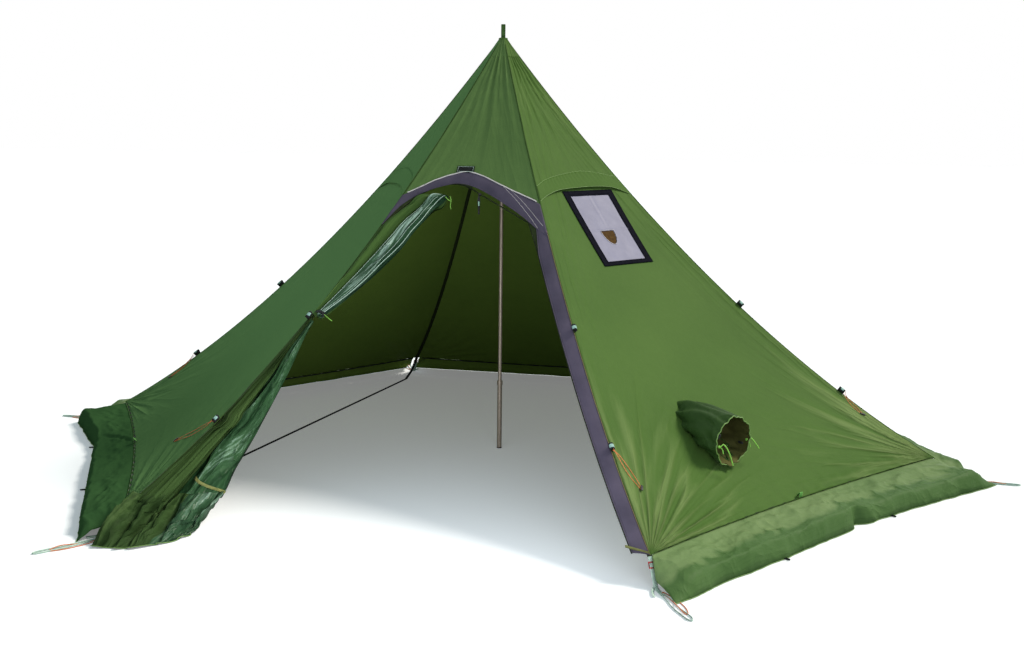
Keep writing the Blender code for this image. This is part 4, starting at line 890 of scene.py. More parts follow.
side_band = flat_cloth("side_band", 8, 150, side_band_place, plain(0.066, 1.9),
                       from_middle, [grey_cloth, grey_cloth], 0.0022)
outer_line = [side_band_place(0.02, step / 130) + Vector((0.001, -0.001, 0.001)) for step in range(131)]
side_edge = drawn_line("side_band_outer_line", outer_line, 0.0009, tan_cord, 1)
inner_line = [side_band_place(1.0, step / 130) for step in range(131)]
side_hem = drawn_line("side_band_inner_edge", inner_line, 0.0024, grey_cloth, 1)
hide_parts("side_trim")
fasten("grey_trim", side_band, side_edge, side_hem)
ribbon_web = web_finish("olive_ribbon", (0.24, 0.25, 0.095), (0.15, 0.165, 0.055))
ribbon_ends = side_band_place(0.0, 0.996), side_band_place(1.0, 0.984) + Vector((-0.022, -0.004, 0.004))
ribbon_route = [ribbon_ends[0].lerp(ribbon_ends[1], t / 6) + Vector((0, -0.004, 0.0035)) for t in range(7)]
ribbon = strip("side_band_ribbon", ribbon_route, lambda index: Vector((0, -0.004, 0.007)), 0.0008,
               ribbon_web)
fasten("green_cloth", ribbon)


# Door zip: a dark coil on a narrow tape follows the inner edge of both bands, with its slider
# parked at the top of the arch. The slider's pull is a cord with a black grip.
zip_finish, shader, add = new_material("zip_coil")
solid = add("TexCoord").outputs["Object"]
coil = add("TexWave", {"wave_type": "BANDS", "bands_direction": "DIAGONAL"}, Vector=solid, Scale=180.0)
colour = two_tone(add, coil.outputs["Color"], (0.010, 0.014, 0.008), (0.024, 0.034, 0.016))
bump = add("Bump", Strength=0.6, Distance=0.0006, Height=coil.outputs["Color"])
surface(shader, colour, 0.6, bump, shine=0.02)


def moulded(name, light, dark, roughness, metallic=0.0):
    """Hard finish: fine grain, with soft scuffed patches that are a little lighter."""
    material, shader, add = new_material(name)
    solid = add("TexCoord").outputs["Object"]
    patch = add("TexNoise", Vector=solid, Scale=55.0, Detail=5.0, Roughness=0.65)
    colour = two_tone(add, patch.outputs["Fac"], dark, light, 0.35, 0.75)
    speck = add("TexNoise", Vector=solid, Scale=1920.0, Detail=2.0)
    bump = add("Bump", Strength=0.15, Distance=0.0002, Height=speck.outputs["Fac"])
    surface(shader, colour, roughness, bump, shine=0.18, metallic=metallic)
    return material


def finish_node(name, material):
    """Gives a carried-over solid its finish."""
    data = nodes[name].data
    data.materials.clear()
    data.materials.append(material)
    data.shade_smooth()
    data.set_sharp_from_angle(angle=math.radians(40))


black_plastic = moulded("black_plastic", (0.030, 0.031, 0.034), (0.009, 0.009, 0.011), 0.5)
finish_node("zip_track", zip_finish)
finish_node("zip_slider", black_plastic)
track = nodes["zip_track"]
track_points = [track.matrix_world @ point.co for point in track.data.vertices]
zip_edges = {
    "arch": [arch_place(0.50 + 0.5 * t / 60, 0.97) for t in range(61)],
    "side": [side_band_place(0.97, t / 120) for t in range(121)],
}
for label, edge_points in zip_edges.items():
    nearest = [min(track_points, key=lambda point: (point - spot).length) for spot in edge_points]
    middles = [(spot + other) / 2 for spot, other in zip(edge_points, nearest)]
    halves = [(other - spot) / 2 for spot, other in zip(edge_points, nearest)]
    tape = strip(f"zip_tape_{label}", middles, lambda index: halves[index], 0.0012, tape_web)
    fasten("grey_trim", tape)
finish_node("zip_pull", black_plastic)
low, high = (Vector(corner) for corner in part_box("zip_pull"))
middle = (low + high) / 2
hanging = high.z - low.z - 0.004
grip_knots = [Vector((middle.x, middle.y, high.z - 0.010 - hanging * t / 8)) for t in range(9)]
mint_plastic = moulded("mint_plastic", (0.45, 0.72, 0.58), (0.30, 0.56, 0.44), 0.4)
mint_piece = drawn_line("zip_pull_sleeve", grip_knots[2:5], 0.0040, mint_plastic)
grip = drawn_line("zip_pull_grip", grip_knots[5:9], 0.0052, black_plastic)
fasten("pale_webbing", mint_piece, body="zip_pull")
fasten("black_plastic", grip, body="zip_pull")


# Stove jack: a black frame is stitched on the right side round a pale heat-proof cloth. The flue
# opening in it is shut by a brown flap with a pale stitched edge.
jack_finish, shader, add = new_material("glass_cloth")
flat = add("UVMap").outputs["UV"]
solid = add("TexCoord").outputs["Object"]
weave = add("TexChecker", Vector=flat, Scale=500.0)
stain = add("TexNoise", Vector=solid, Scale=11.0, Detail=4.0, Roughness=0.6)
colour = two_tone(add, stain.outputs["Fac"], (0.185, 0.190, 0.292), (0.235, 0.240, 0.352), 0.3, 0.75)
fine = add("Bump", Strength=0.15, Distance=0.0002, Height=weave.outputs["Fac"])
bump = add("Bump", Strength=0.3, Distance=0.004, Height=stain.outputs["Fac"], Normal=fine.outputs["Normal"])
surface(shader, colour, 0.42, bump, shine=0.12)
frame_web = web_finish("jack_frame_cloth", (0.006, 0.007, 0.014), (0.003, 0.003, 0.007), 0.7, 0.02)
brown_cloth = web_finish("brown_flap_cloth", (0.105, 0.060, 0.018), (0.060, 0.032, 0.010), 0.8)
jack_side = SIDES["right"]
FLUE_ACROSS, FLUE_TOP = 0.018, 0.262


def jack_place(across, drop, lift):
    """Place on the jack, from the middle of its top edge, in metres."""
    return skin_at(jack_side, JACK_ACROSS + across, 0.735 + drop * 0.765, lift)


def from_jack_middle(point):
    """Distances across and down from the middle of the jack."""
    off = point - jack_place(0, JACK_TALL / 2, 0)
    upwards = (jack_place(0, 0, 0) - jack_place(0, JACK_TALL, 0)).normalized()
    return off.dot(heading(jack_side + 90)), -off.dot(upwards)


def inside_frame(point):
    across, drop = from_jack_middle(point)
    return abs(across) < JACK_WIDE / 2 - 0.045 and abs(drop) < JACK_TALL / 2 - 0.027


def in_flue(point):
    across, drop = from_jack_middle(point)
    below = drop + JACK_TALL / 2 - FLUE_TOP
    return below > 0 and math.hypot((across - FLUE_ACROSS) / 0.052, below / 0.088) < 1


jack_sheets = [
    ("frame", JACK_WIDE, JACK_TALL, 0.0, 0.0042, frame_web),
    ("cloth", 0.33, 0.45, 0.020, 0.0026, jack_finish),
]
for label, wide, tall, inset, lift, material in jack_sheets:
    def place(column, row, wide=wide, tall=tall, inset=inset, lift=lift, label=label):
        across, drop = wide * (column - 0.5), inset + tall * row
        if label == "cloth":
            fold = 0.0007 * bell(across + 0.012, 0.007)
            fold -= 0.0010 * bell(across - 0.006, 0.006)
            fold *= min(max((0.26 - drop) / 0.06, 0), 1)
            lift = lift + fold + 0.0012 * drift(across * 14, drop * 14, 3)
            lift += 0.0016 * bell(drop - 0.258, 0.004)
        else:
            lift = lift + 0.0007 * drift(across * 30, drop * 30, 8)
        return jack_place(across, drop, lift)

    sheet = flat_cloth(f"jack_{label}", 60, 72, place, plain(wide, tall), from_middle, [material, material],
                       0.0012)
    cut_out(sheet, inside_frame if label == "frame" else in_flue)
    fasten("black_webbing" if label == "frame" else "jack_cloth", sheet)
    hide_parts(f"stove_jack_{label}")


def flap_place(column, row):
    lift = 0.0006 + 0.0010 * drift(column * 4, row * 4, 1)
    return jack_place(FLUE_ACROSS + 0.150 * (column - 0.5), 0.236 + 0.135 * row, lift)


flap = flat_cloth("jack_flap", 24, 24, flap_place, plain(0.15, 0.135), from_middle, [brown_cloth], 0.0008)
flue_line = []
for step in range(41):
    swing = math.pi * step / 40
    across, drop = FLUE_ACROSS + 0.055 * math.cos(swing), FLUE_TOP + 0.092 * math.sin(swing)
    flue_line.append(jack_place(across, drop, 0.0050))
flue_edge = drawn_line("flue_stitching", [*flue_line, flue_line[0]], 0.0008, white_cord, 1)
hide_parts("stove_jack_flap")
fasten("brown_cloth", flap)
fasten("jack_cloth", flue_edge)
for number, (half_wide, top, foot) in enumerate(((0.1965, 0.0035, 0.4865), (0.159, 0.0245, 0.4665))):
    ring = []
    corners = [(half_wide, top), (-half_wide, top), (-half_wide, foot), (half_wide, foot), (half_wide, top)]
    for start, end in zip(corners, corners[1:]):
        ring += [jack_place(*between(start, end, t / 30), 0.0048) for t in range(30)]
    stitch_line = drawn_line(f"jack_stitching_{number}", ring, 0.0009, frame_web, 1)
    fasten("black_webbing", stitch_line)


# Vent hoods: a crescent of cloth on each side beside the doorway, sewn along its upper edge and
# held a little open below by a stiff edge.
HOOD_SEAM = [(0.0, 0.672), (0.33, 0.641), (0.60, 0.650), (0.87, 0.675), (1.0, 0.705)]
HOOD_EDGE = [(0.0, 0.762), (0.20, 0.728), (0.74, 0.732), (0.90, 0.752), (1.0, 0.775)]
for name, hood_cloth, hood_line in (("right", outer_green, piping), ("left", shade_green, shade_green)):
    side = SIDES[name]

    def hood_place(column, row, side=side):
        share = 0.008 + 0.984 * column
        along = share if side == SIDES["right"] else 1 - share
        top, foot = arch_reach(HOOD_SEAM, along), arch_reach(HOOD_EDGE, along)
        bulge = 1 - abs(2 * column - 1) ** 4
        pucker = 0.0015 * ripple(column * 21 + wave(column * 6, side)) * (1 - row)
        gape = 0.015 if side == SIDES["right"] else 0.005
        return skin(side, top + (foot - top) * row, share, 0.002 + (gape * row**1.3 + pucker) * bulge)

    hood = flat_cloth(f"{name}_hood", 110, 12, hood_place, plain(0.7, 0.1),
                      from_middle, [hood_cloth, inner_green])
    top_seam = drawn_line(f"{name}_hood_seam", along_row(hood_place, 0, 90), 0.0012, hood_line, 1)
    edge = drawn_line(f"{name}_hood_edge", along_row(hood_place, 1, 60), 0.0014, hood_line, 1)
    fasten("green_cloth", hood, top_seam, edge)
    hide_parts(f"{name}_vent_hood")


# Tunnel sleeve: a short tube of cloth stands out of the right side. Its mouth is gathered by a
# lime cord in a hem, with a cord lock, and its foot puckers where it is sewn to the side.
lime_cord = cord_finish("lime_cord", (0.16, 0.46, 0.05), (0.34, 0.74, 0.12), 160.0, 3.0, 0.55)
olive_lining = cloth_finish("olive_lining", (0.120, 0.118, 0.040), (0.060, 0.064, 0.020), 0.5, crumpled=0.7)
# Darker copy of the cloth for the sleeve tube: painted shade.
sleeve_green = cloth_finish("sleeve_green", (0.044, 0.092, 0.026), (0.018, 0.046, 0.012), 0.42, shine=0.06,
                            crumpled=1.0)
sleeve_base = skin_at(jack_side, SLEEVE_ACROSS, SLEEVE_REACH)
sleeve_along = (heading(jack_side + 6) * 0.20 - Vector((0, 0, 0.012))).normalized()
sleeve_level = heading(jack_side + 6 - 90)
sleeve_up = sleeve_level.cross(sleeve_along).normalized()
sleeve_lean = lean(jack_side, SLEEVE_REACH, 0.5 + SLEEVE_ACROSS / SLEEVE_REACH)


def sleeve_ray(turn):
    """Direction out from the sleeve's middle line."""
    return sleeve_level * math.cos(turn) + sleeve_up * math.sin(turn)


def sleeve_start(ray, radius):
    """How far along the sleeve a ray of that radius leaves the side's cloth."""
    return (0.002 - (ray * radius).dot(sleeve_lean)) / sleeve_along.dot(sleeve_lean)


def sleeve_place(column, row):
    turn = math.tau * column
    ray = sleeve_ray(turn)
    curl = Vector((math.cos(turn), math.sin(turn), 0))
    low_side = max(-math.sin(turn), 0.0)
    radius = 0.090 + 0.024 * min(row / 0.30, 1.0) ** 0.6 + 0.006 * arched(row) + 0.004 * row
    gather = math.exp(-row / 0.30) * (0.0105 - 0.0050 * low_side) + 0.0034
    radius += gather * math.cos(11 * turn + 2.5 * noise.noise(curl * 1.5 + Vector((0, 0, row * 2))))
    radius += 0.008 * noise.noise(curl * 1.9 + Vector((3, 0, row * 2.6)))
    radius += 0.0022 * math.exp(-(1 - row) / 0.10) * math.cos(23 * turn)
    start = sleeve_start(ray, radius)
    reach = start + (0.215 - start) * row
    return sleeve_base + sleeve_along * reach + ray * radius - sleeve_up * 0.008 * arched(row)


def from_sleeve_line(point):
    off = point - sleeve_base
    return off - sleeve_along * off.dot(sleeve_along)


sleeve = flat_cloth("sleeve_tube", 120, 40, sleeve_place, plain(0.7, 0.2), from_sleeve_line,
                    [sleeve_green, olive_lining])
close_seam(sleeve)


def closure_place(column, row):
    turn = math.tau * column
    ray = sleeve_ray(turn)
    radius = 0.006 + 0.086 * row
    gather = 0.004 * math.cos(13 * turn + row) * arched(min(row + 0.15, 1.0))
    start = sleeve_start(ray, radius)
    return sleeve_base + sleeve_along * (start + 0.012 * (1 - row**2) + gather) + ray * radius


closure = flat_cloth("sleeve_inner_gather", 96, 14, closure_place, plain(0.6, 0.1),
                     lambda point: sleeve_along, [olive_lining], 0.0008)
mouth = drawn_line("sleeve_mouth_hem", along_row(sleeve_place, 0.995, 96), 0.0028, piping, 2)
foot = drawn_line("sleeve_foot_seam", along_row(sleeve_place, 0.0, 96), 0.0042, seam_green, 1)
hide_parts("tunnel_sleeve")
fasten("green_cloth", sleeve, mouth, foot, closure)
finish_node("cord_lock_barrel", black_plastic)
finish_node("cord_lock_button", black_plastic)
sleeve_ties = [(3.05, 0.224, -0.9, 0.095), (0.12, 0.195, 1.6, 0.040)]
for number, (turn, out_by, sideways, drop) in enumerate(sleeve_ties):
    ray = sleeve_ray(turn)
    tied = sleeve_base + sleeve_along * out_by + ray * 0.116
    outwards = (ray * sideways + sleeve_along * 0.6).normalized()
    knot = []
    for step in range(11):
        swing = math.tau * step / 9
        wrap = sleeve_along * math.sin(swing) + Vector((0, 0, math.cos(swing)))
        knot.append(tied + outwards * 0.004 + wrap * 0.003)

    def hung(away, down, tied=tied, outwards=outwards):
        return tied + outwards * away - Vector((0, 0, down))

    tail = [tied, hung(0.012, 0), hung(0.026, -0.010), hung(0.052, 0.3 * drop), hung(0.075, drop)]
    tail = smooth_route(tail, 16)
    fork = smooth_route([hung(0.006, 0), hung(0.020, 0.014), hung(0.026, 0.036)], 10)
    for label, points, radius in (("knot", knot, 0.0046), ("tail", tail, 0.0030), ("fork", fork, 0.0028)):
        piece = drawn_line(f"sleeve_cord_{label}_{number}", points, radius, lime_cord)
        fasten("green_cloth", piece)
for number, (turn, out_by, aside) in enumerate(((2.60, 0.022, 0.124), (0.30, 0.185, 0.094))):
    ray = sleeve_ray(turn)
    middle = sleeve_base + sleeve_along * out_by + ray * aside
    ends = [middle + sleeve_along * 0.024 * (t / 5 - 0.5) for t in range(6)]
    toggle = drawn_line(f"sleeve_toggle_{number}", ends, 0.0060, black_plastic)
    fasten("black_plastic", toggle)


# Door, upper part: the door's cloth is gathered to the left ridge of the doorway. Its matt outer
# side shows as a tube beside the ridge, and its coated side as a lapel with piped lines along it.
def gathered_finish(name, dark, middle, light, roughness, shine, depth, scale, bands=(), crisp=0.62):
    """Gathered cloth: creases, and painted highlights as pale streaks that run along its folds. Each
    band is a fold line on the pattern, with its half width and how much paler the cloth is there:
    painted highlight where it is paler, painted shade where it is darker."""
    material, shader, add = new_material(name)
    solid = add("TexCoord").outputs["Object"]
    flat = add("UVMap").outputs["UV"]
    stretch = add("Mapping", Vector=flat, Scale=(*scale, 1.0))
    crinkle = add("TexNoise", {"noise_type": "RIDGED_MULTIFRACTAL"}, Vector=stretch.outputs["Vector"],
                  Scale=1.0, Detail=4.0, Roughness=0.5, Offset=1.0, Distortion=0.35)
    # Painted highlights: pale streaks along the folds.
    painted_light_streaks = add("TexNoise", Vector=stretch.outputs["Vector"], Scale=0.8, Detail=9.0, Roughness=crisp,
               Distortion=crisp)
    tone = painted_light_streaks.outputs["Fac"]
    around = add("SeparateXYZ", i0=flat).outputs[0]
    for centre, half_width, amount in bands:
        aside = add("Math", {"operation": "SUBTRACT"}, i0=around, i1=centre).outputs[0]
        distance = add("Math", {"operation": "ABSOLUTE"}, i0=aside).outputs[0]
        smooth = {"interpolation_type": "SMOOTHSTEP"}
        near = add("MapRange", smooth, i0=distance, i1=half_width, i2=0.0, i4=amount)
        tone = add("Math", {"operation": "ADD"}, i0=tone, i1=near.outputs[0]).outputs[0]
    colour = two_tone(add, tone, dark, light, 0.40, 0.68, middle)
    small = add("TexNoise", Vector=solid, Scale=26.0, Detail=5.0, Roughness=0.6)
    fine = add("Bump", Strength=0.35, Distance=0.003, Height=small.outputs["Fac"])
    bump = add("Bump", Strength=0.8, Distance=depth, Height=crinkle.outputs["Fac"],
               Normal=fine.outputs["Normal"])
    surface(shader, colour, roughness, bump, shine=shine)
    return material


# In the coated finishes the palest stops and the bands that make the cloth paler are painted highlights
# along the folds; in all of them the bands that make it darker are painted shade in the fold valleys.
coated_green = gathered_finish("coated_green", (0.014, 0.048, 0.018), (0.038, 0.100, 0.042),
                               (0.30, 0.47, 0.36), 0.34, 0.10, 0.022, (6.5, 3.4),
                               ((0.60, 0.08, 0.020), (0.42, 0.07, -0.14), (0.86, 0.16, -0.16)), 0.78)
coated_roll = gathered_finish("coated_roll", (0.014, 0.046, 0.022), (0.034, 0.090, 0.046),
                              (0.36, 0.52, 0.45), 0.34, 0.12, 0.020, (8.5, 3.2),
                              ((0.82, 0.10, 0.08), (0.52, 0.10, -0.16), (1.14, 0.14, -0.14)), 0.74)
coated_heap = gathered_finish("coated_heap", (0.012, 0.040, 0.018), (0.036, 0.090, 0.044),
                              (0.24, 0.37, 0.30), 0.34, 0.12, 0.014, (5.0, 3.0))
door_green = gathered_finish("door_green", (0.022, 0.044, 0.012), (0.046, 0.090, 0.026),
                             (0.078, 0.130, 0.040), 0.5, 0.04, 0.014, (9.0, 0.7), ((0.39, 0.10, -0.20),))
roll_green = gathered_finish("roll_green", (0.040, 0.085, 0.022), (0.062, 0.126, 0.032),
                             (0.090, 0.165, 0.046), 0.5, 0.04, 0.012, (7.0, 0.9), ((0.50, 0.10, -0.20),))
heap_green = gathered_finish("heap_green", (0.014, 0.030, 0.009), (0.034, 0.068, 0.021),
                             (0.062, 0.108, 0.036), 0.5, 0.02, 0.014, (4.5, 3.5))

# The door hangs at this ridge. Doorwards is the way from it into the doorway, offwards the other.
door_ridge = CORNERS["front_left"]
doorwards = heading(door_ridge - 90)
offwards = heading(door_ridge + 90)

# Fold lines of the gathered cloth, seen from its end: distance from the ridge and height of the
# stack, each as a share. The first run is the tube, the next the lapel, and the rest lie behind.
GATHER = [(0.00, -0.20), (0.02, 0.25), (0.14, 0.50), (0.28, 0.42), (0.36, 0.05), (0.42, -0.30),
          (0.47, 0.00), (0.54, 0.36), (0.68, 0.50), (0.86, 0.42), (0.97, 0.18), (1.00, -0.05),
          (0.93, -0.22), (0.60, -0.30), (0.30, -0.32), (0.12, -0.36), (0.30, -0.41), (0.60, -0.42),
          (0.86, -0.44), (0.60, -0.48), (0.20, -0.50)]


def knot_curve(knots, share):
    """Smooth curve through knots of any size, at a share of the way along them."""
    spot = share * (len(knots) - 1)
    index = min(int(spot), len(knots) - 2)
    t = spot - index
    values = []
    for axis in range(len(knots[0])):
        nearby = [min(max(index + shift, 0), len(knots) - 1) for shift in (-1, 0, 1, 2)]
        one, two, three, four = (knots[item][axis] for item in nearby)
        values.append(0.5 * (2 * two + (three - one) * t + (2 * one - 5 * two + 4 * three - four) * t**2
                             + (3 * two - one - 3 * three + four) * t**3))
    return values


ROLL_LEFT = [(0.800, 0.745), (0.905, 0.800), (0.972, 0.880), (0.988, 1.00), (0.990, 1.12), (0.991, 1.24),
             (0.992, 1.375)]
ROLL_RIGHT = [(0.700, 0.735), (0.745, 0.790), (0.776, 0.880), (0.812, 1.00), (0.860, 1.12),
              (0.912, 1.25), (0.966, 1.375)]


def upper_door(column, row):
    near, high = knot_curve(GATHER, column)
    left = knot_curve(ROLL_LEFT, row)
    right = knot_curve(ROLL_RIGHT, row)
    share = left[0] + (right[0] - left[0]) * near
    reach = left[1] + (right[1] - left[1]) * near
    deep = 0.078 - 0.034 * row
    deep *= 0.35 + 0.65 * min(row / 0.16, 1.0) ** 0.5
    deep += 0.050 * bell(row - 0.10, 0.06)
    if column < 0.62:
        high += 0.16 * drift(column * 16, row * 2.2, 4) + 0.08 * drift(column * 40, row * 5.0, 5)
        high += 0.10 * drift(column * 9, row * 9.0, 6)
    sink = 0.006 + 0.040 * max(0.0, 1 - row / 0.42)
    return skin(FRONT, reach, share, deep * high - sink)


# The lower door's free edge: its reach and height, and how far it hangs into the doorway.
LOWER_DOOR_TOP = 1.385
FREE_EDGE = [(1.385, 0.895), (1.44, 0.835), (1.55, 0.665), (1.68, 0.488), (1.80, 0.340), (1.91, 0.220),
             (2.02, 0.115)]
FREE_SWAY = [(0.010,), (0.012,), (0.014,), (0.020,), (0.030,), (0.050,), (0.095,)]


def lower_door_line(row):
    """Ridge end and free edge of the lower door at a share of its length."""
    reach, height = knot_curve(FREE_EDGE, row)
    foot = knot_curve(FREE_SWAY, row)[0]
    along = LOWER_DOOR_TOP + 1.05 * row
    beside_tab = math.exp(-(((along - LOWER_TAB) / 0.034) ** 4))
    top = ridge_point(door_ridge, along, 0.0030 - 0.009 * beside_tab)
    top += offwards * (0.007 - 0.011 * beside_tab)
    return top, heading(door_ridge) * reach + doorwards * foot + Vector((0, 0, height))


FOLDS = [(0.00, 0.10), (0.03, 0.42), (0.12, 0.62), (0.25, 0.66), (0.36, 0.50), (0.43, 0.06),
         (0.46, 0.10), (0.50, 0.55), (0.60, 0.86), (0.74, 1.00), (0.88, 0.90), (0.97, 0.62),
         (1.00, 0.30), (0.95, 0.05), (0.70, -0.02), (0.35, -0.05), (0.10, -0.12), (0.35, -0.22),
         (0.70, -0.24), (0.92, -0.30), (0.70, -0.37), (0.35, -0.40), (0.10, -0.46), (0.35, -0.54),
         (0.70, -0.56), (0.90, -0.62), (0.70, -0.68), (0.35, -0.70)]


def lower_door(column, row):
    near, high = knot_curve(FOLDS, column)
    top, free = lower_door_line(row)
    thick = 0.014 + 0.050 * row**0.8
    if column < 0.48:
        grown = min(row / 0.12, 1.0)
        rough = 0.16 * drift(column * 17, row * 1.6, 14) + 0.08 * drift(column * 42, row * 3.4, 15)
        high += grown * (rough + 0.16 * drift(column * 10, row * 8.0, 16))
        pleat = math.sin(math.tau * (column / 0.185 * 4.5 + 0.8 * wave(row * 2.5, 21)))
        flattened = 0.34 * (1 - 0.75 * row) * grown if column < 0.185 else 0.0
        high += flattened * math.copysign(abs(pleat) ** 0.6, pleat)
    bow = Vector((0, 0, 0.020)) * arched(near) * row
    return top.lerp(free, near) + doorwards * (thick * high + 0.004) - bow * 0.5


def door_cloth(name, columns, rows, place, lapel, matt, coated):
    """Gathered door cloth, with its coated side out between the two columns of its lapel."""
    thing = flat_cloth(name, columns, rows, place, plain(2.0, 1.2), from_middle, [matt, coated], 0.0)
    for face in thing.data.polygons:
        column = face.index % columns / columns
        if lapel[0] < column < lapel[1]:
            face.material_index = 1
    thicken(thing, 0.0006, 0.0)
    return thing


upper = door_cloth("door_upper_cloth", 150, 90, upper_door, (0.27, 0.66), roll_green, coated_roll)
lower = door_cloth("door_lower_cloth", 190, 110, lower_door, (0.20, 0.50), door_green, coated_green)
fasten("green_cloth", upper)
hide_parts("door_roll")
fasten("green_cloth", lower, body="door_flap")
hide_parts("door_flap")
lapel_lines = [
    (0.325, 0.10, 0.99, 0.0018), (0.372, 0.14, 0.97, 0.0010), (0.462, 0.10, 0.98, 0.0010),
    (0.505, 0.04, 0.99, 0.0018),
]
for number, (column, start, end, radius) in enumerate(lapel_lines):
    rows = [start + (end - start) * t / 80 for t in range(81)]
    route = [upper_door(column, row) + Vector((0, -0.002, 0.002)) for row in rows]
    line = drawn_line(f"door_piping_{number}", route, radius, mint_web, 1)
    fasten("green_cloth", line)


# Door, foot: the door's own snow skirt is bunched on the ground in front of the corner, in deep
# untidy pleats. An olive ribbon marks the end of the door's free edge.
HEAP_EDGE = [(-0.930, -2.085), (-0.950, -2.175), (-0.985, -2.245), (-1.025, -2.290), (-1.085, -2.352),
             (-1.150, -2.374), (-1.215, -2.384), (-1.272, -2.372)]


def heap(column, row):
    start = lower_door(0.49 - 0.48 * column, 0.925 + 0.055 * column + 0.018 * wave(column * 9, 5))
    start += doorwards * 0.0025 + (offwards * 0.022 + Vector((0, 0, 0.026))) * column**4
    edge = Vector((*knot_curve(HEAP_EDGE, column), 0.002))
    pleat = math.sin(math.tau * (column * 5.2 + 0.5 * row + 0.7 * wave(column * 5 + row, 3)))
    pleat = math.copysign(abs(pleat) ** 0.7, pleat)
    spot = start.lerp(edge, row)
    swell = arched(min(row * 1.05, 1.0))
    grown = 0.4 + 0.6 * min(column / 0.5, 1.0)
    pleat_out = pleat * grown
    spot += heading(165) * swell * (0.026 * pleat_out + 0.030 * creased(column * 7, row * 4.0, 7))
    spot += heading(door_ridge) * row * (0.014 * pleat_out + 0.012 * drift(column * 14, row * 5, 9))
    height = start.z * (1 - row) ** (1.3 - 0.5 * column**2)
    height += swell * (0.034 * creased(column * 10, row * 5, 8) + 0.014 * pleat_out)
    spot.z = max(height, 0.002 + 0.004 * (1 + pleat) * row)
    return spot


HEAP_COLUMNS = 200
COATED_COLUMNS = 92
foot_cloth = flat_cloth("door_skirt", HEAP_COLUMNS, 34, heap, plain(2.4, 0.27), from_middle,
                        [heap_green, coated_heap], 0.0)
for face in foot_cloth.data.polygons:
    if face.index % HEAP_COLUMNS < COATED_COLUMNS:
        face.material_index = 1
thicken(foot_cloth, 0.0008)
foot_edge = drawn_line("door_skirt_piping", along_row(heap, 1.0, 160, 0.0016), 0.0019, piping, 1)
ribbon_route = [lower_door(0.23 + 0.20 * t / 10, 0.860 + 0.011 * t) + doorwards * 0.004 for t in range(11)]
foot_ribbon = strip("door_ribbon", ribbon_route, lambda index: ridge_along(door_ridge, 2.0) * 0.008, 0.0008,
                    ribbon_web)
fasten("green_cloth", foot_cloth, foot_edge, foot_ribbon, body="door_flap")
finish_node("door_tieback", black_web)


# Centre pole: two taupe anodised tubes, one sliding in the other, with a moulded foot and tip. Two
# small drilled holes show above the foot.
pole_finish, shader, add = new_material("taupe_anodised")
solid = add("TexCoord").outputs["Object"]
stretch = add("Mapping", Vector=solid, Scale=(60.0, 60.0, 3.0))
drawn = add("TexNoise", Vector=stretch.outputs["Vector"], Scale=6.0, Detail=4.0, Roughness=0.6)
colour = two_tone(add, drawn.outputs["Fac"], (0.36, 0.29, 0.235), (0.52, 0.44, 0.37), 0.3, 0.7)
bump = add("Bump", Strength=0.12, Distance=0.0003, Height=drawn.outputs["Fac"])
surface(shader, colour, 0.38, bump, metallic=0.3)
rubber = moulded("foot_rubber", (0.035, 0.034, 0.033), (0.014, 0.014, 0.014), 0.75)
finish_node("lower_tube", pole_finish)
finish_node("upper_tube", pole_finish)
finish_node("lock_expander", black_plastic)
finish_node("pole_tip", black_plastic)
finish_node("pole_foot", rubber)
finish_node("peak_cup", outer_green)


# Peak: the sides run together under a small pleated cap of the same cloth, with a green webbing
# loop standing on it to hang the tent from.
cap_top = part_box("peak_cap")[1][2]


def cap_spot(column, row):
    """Side, place across it as a share of its width, and reach."""
    bearing = 360 * column
    side = 60 * round(bearing / 60)
    return side, math.tan(math.radians(bearing - side)) * math.cos(math.radians(30)), 0.004 + 0.098 * row


def cap_place(column, row):
    side, across, reach = cap_spot(column, row)
    pleat = 0.0012 * ripple(column * 18) * arched(row)
    spot = skin(side, reach, 0.5 + across, 0.0036 * (1 - row) + 0.0010 + pleat)
    spot.z = min(spot.z, cap_top - 0.0003 - 0.02 * row**2)
    return spot


def cap_pattern(column, row):
    across, reach = cap_spot(column, row)[1:]
    return across * reach, reach * SLANT


CAP_COLUMNS = 144
cap = flat_cloth("peak_cone", CAP_COLUMNS, 16, cap_place, cap_pattern, from_middle,
                 [side_green, inner_green])
for cloth in (front_green, left_painted_light_green):
    cap.data.materials.append(cloth)
for face in cap.data.polygons:
    side = 60 * round(360 * (face.index % CAP_COLUMNS + 0.5) / CAP_COLUMNS / 60)
    face.material_index = {FRONT: 2, SIDES["left"]: 3}.get(side, 0)
close_seam(cap)
fasten("green_cloth", cap)
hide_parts("peak_cap")
green_web = web_finish("green_web", (0.075, 0.150, 0.045), (0.040, 0.090, 0.025))
finish_node("peak_loop", green_web)


# Corner webbing: a pale reflecting strap leaves each corner, passes a red three-bar buckle and
# opens into a loop for the peg, beside a thinner orange loop of cord.
red_metal = moulded("red_anodised", (0.52, 0.030, 0.040), (0.30, 0.014, 0.020), 0.34, 0.7)
STRAP = [(2.4781, 0.1197), (2.4956, 0.0929), (2.5132, 0.0660), (2.5308, 0.0392), (2.5444, 0.0184),
         (2.5535, 0.0078), (2.567, 0.0032), (2.60, 0.0015), (2.64, 0.0014)]
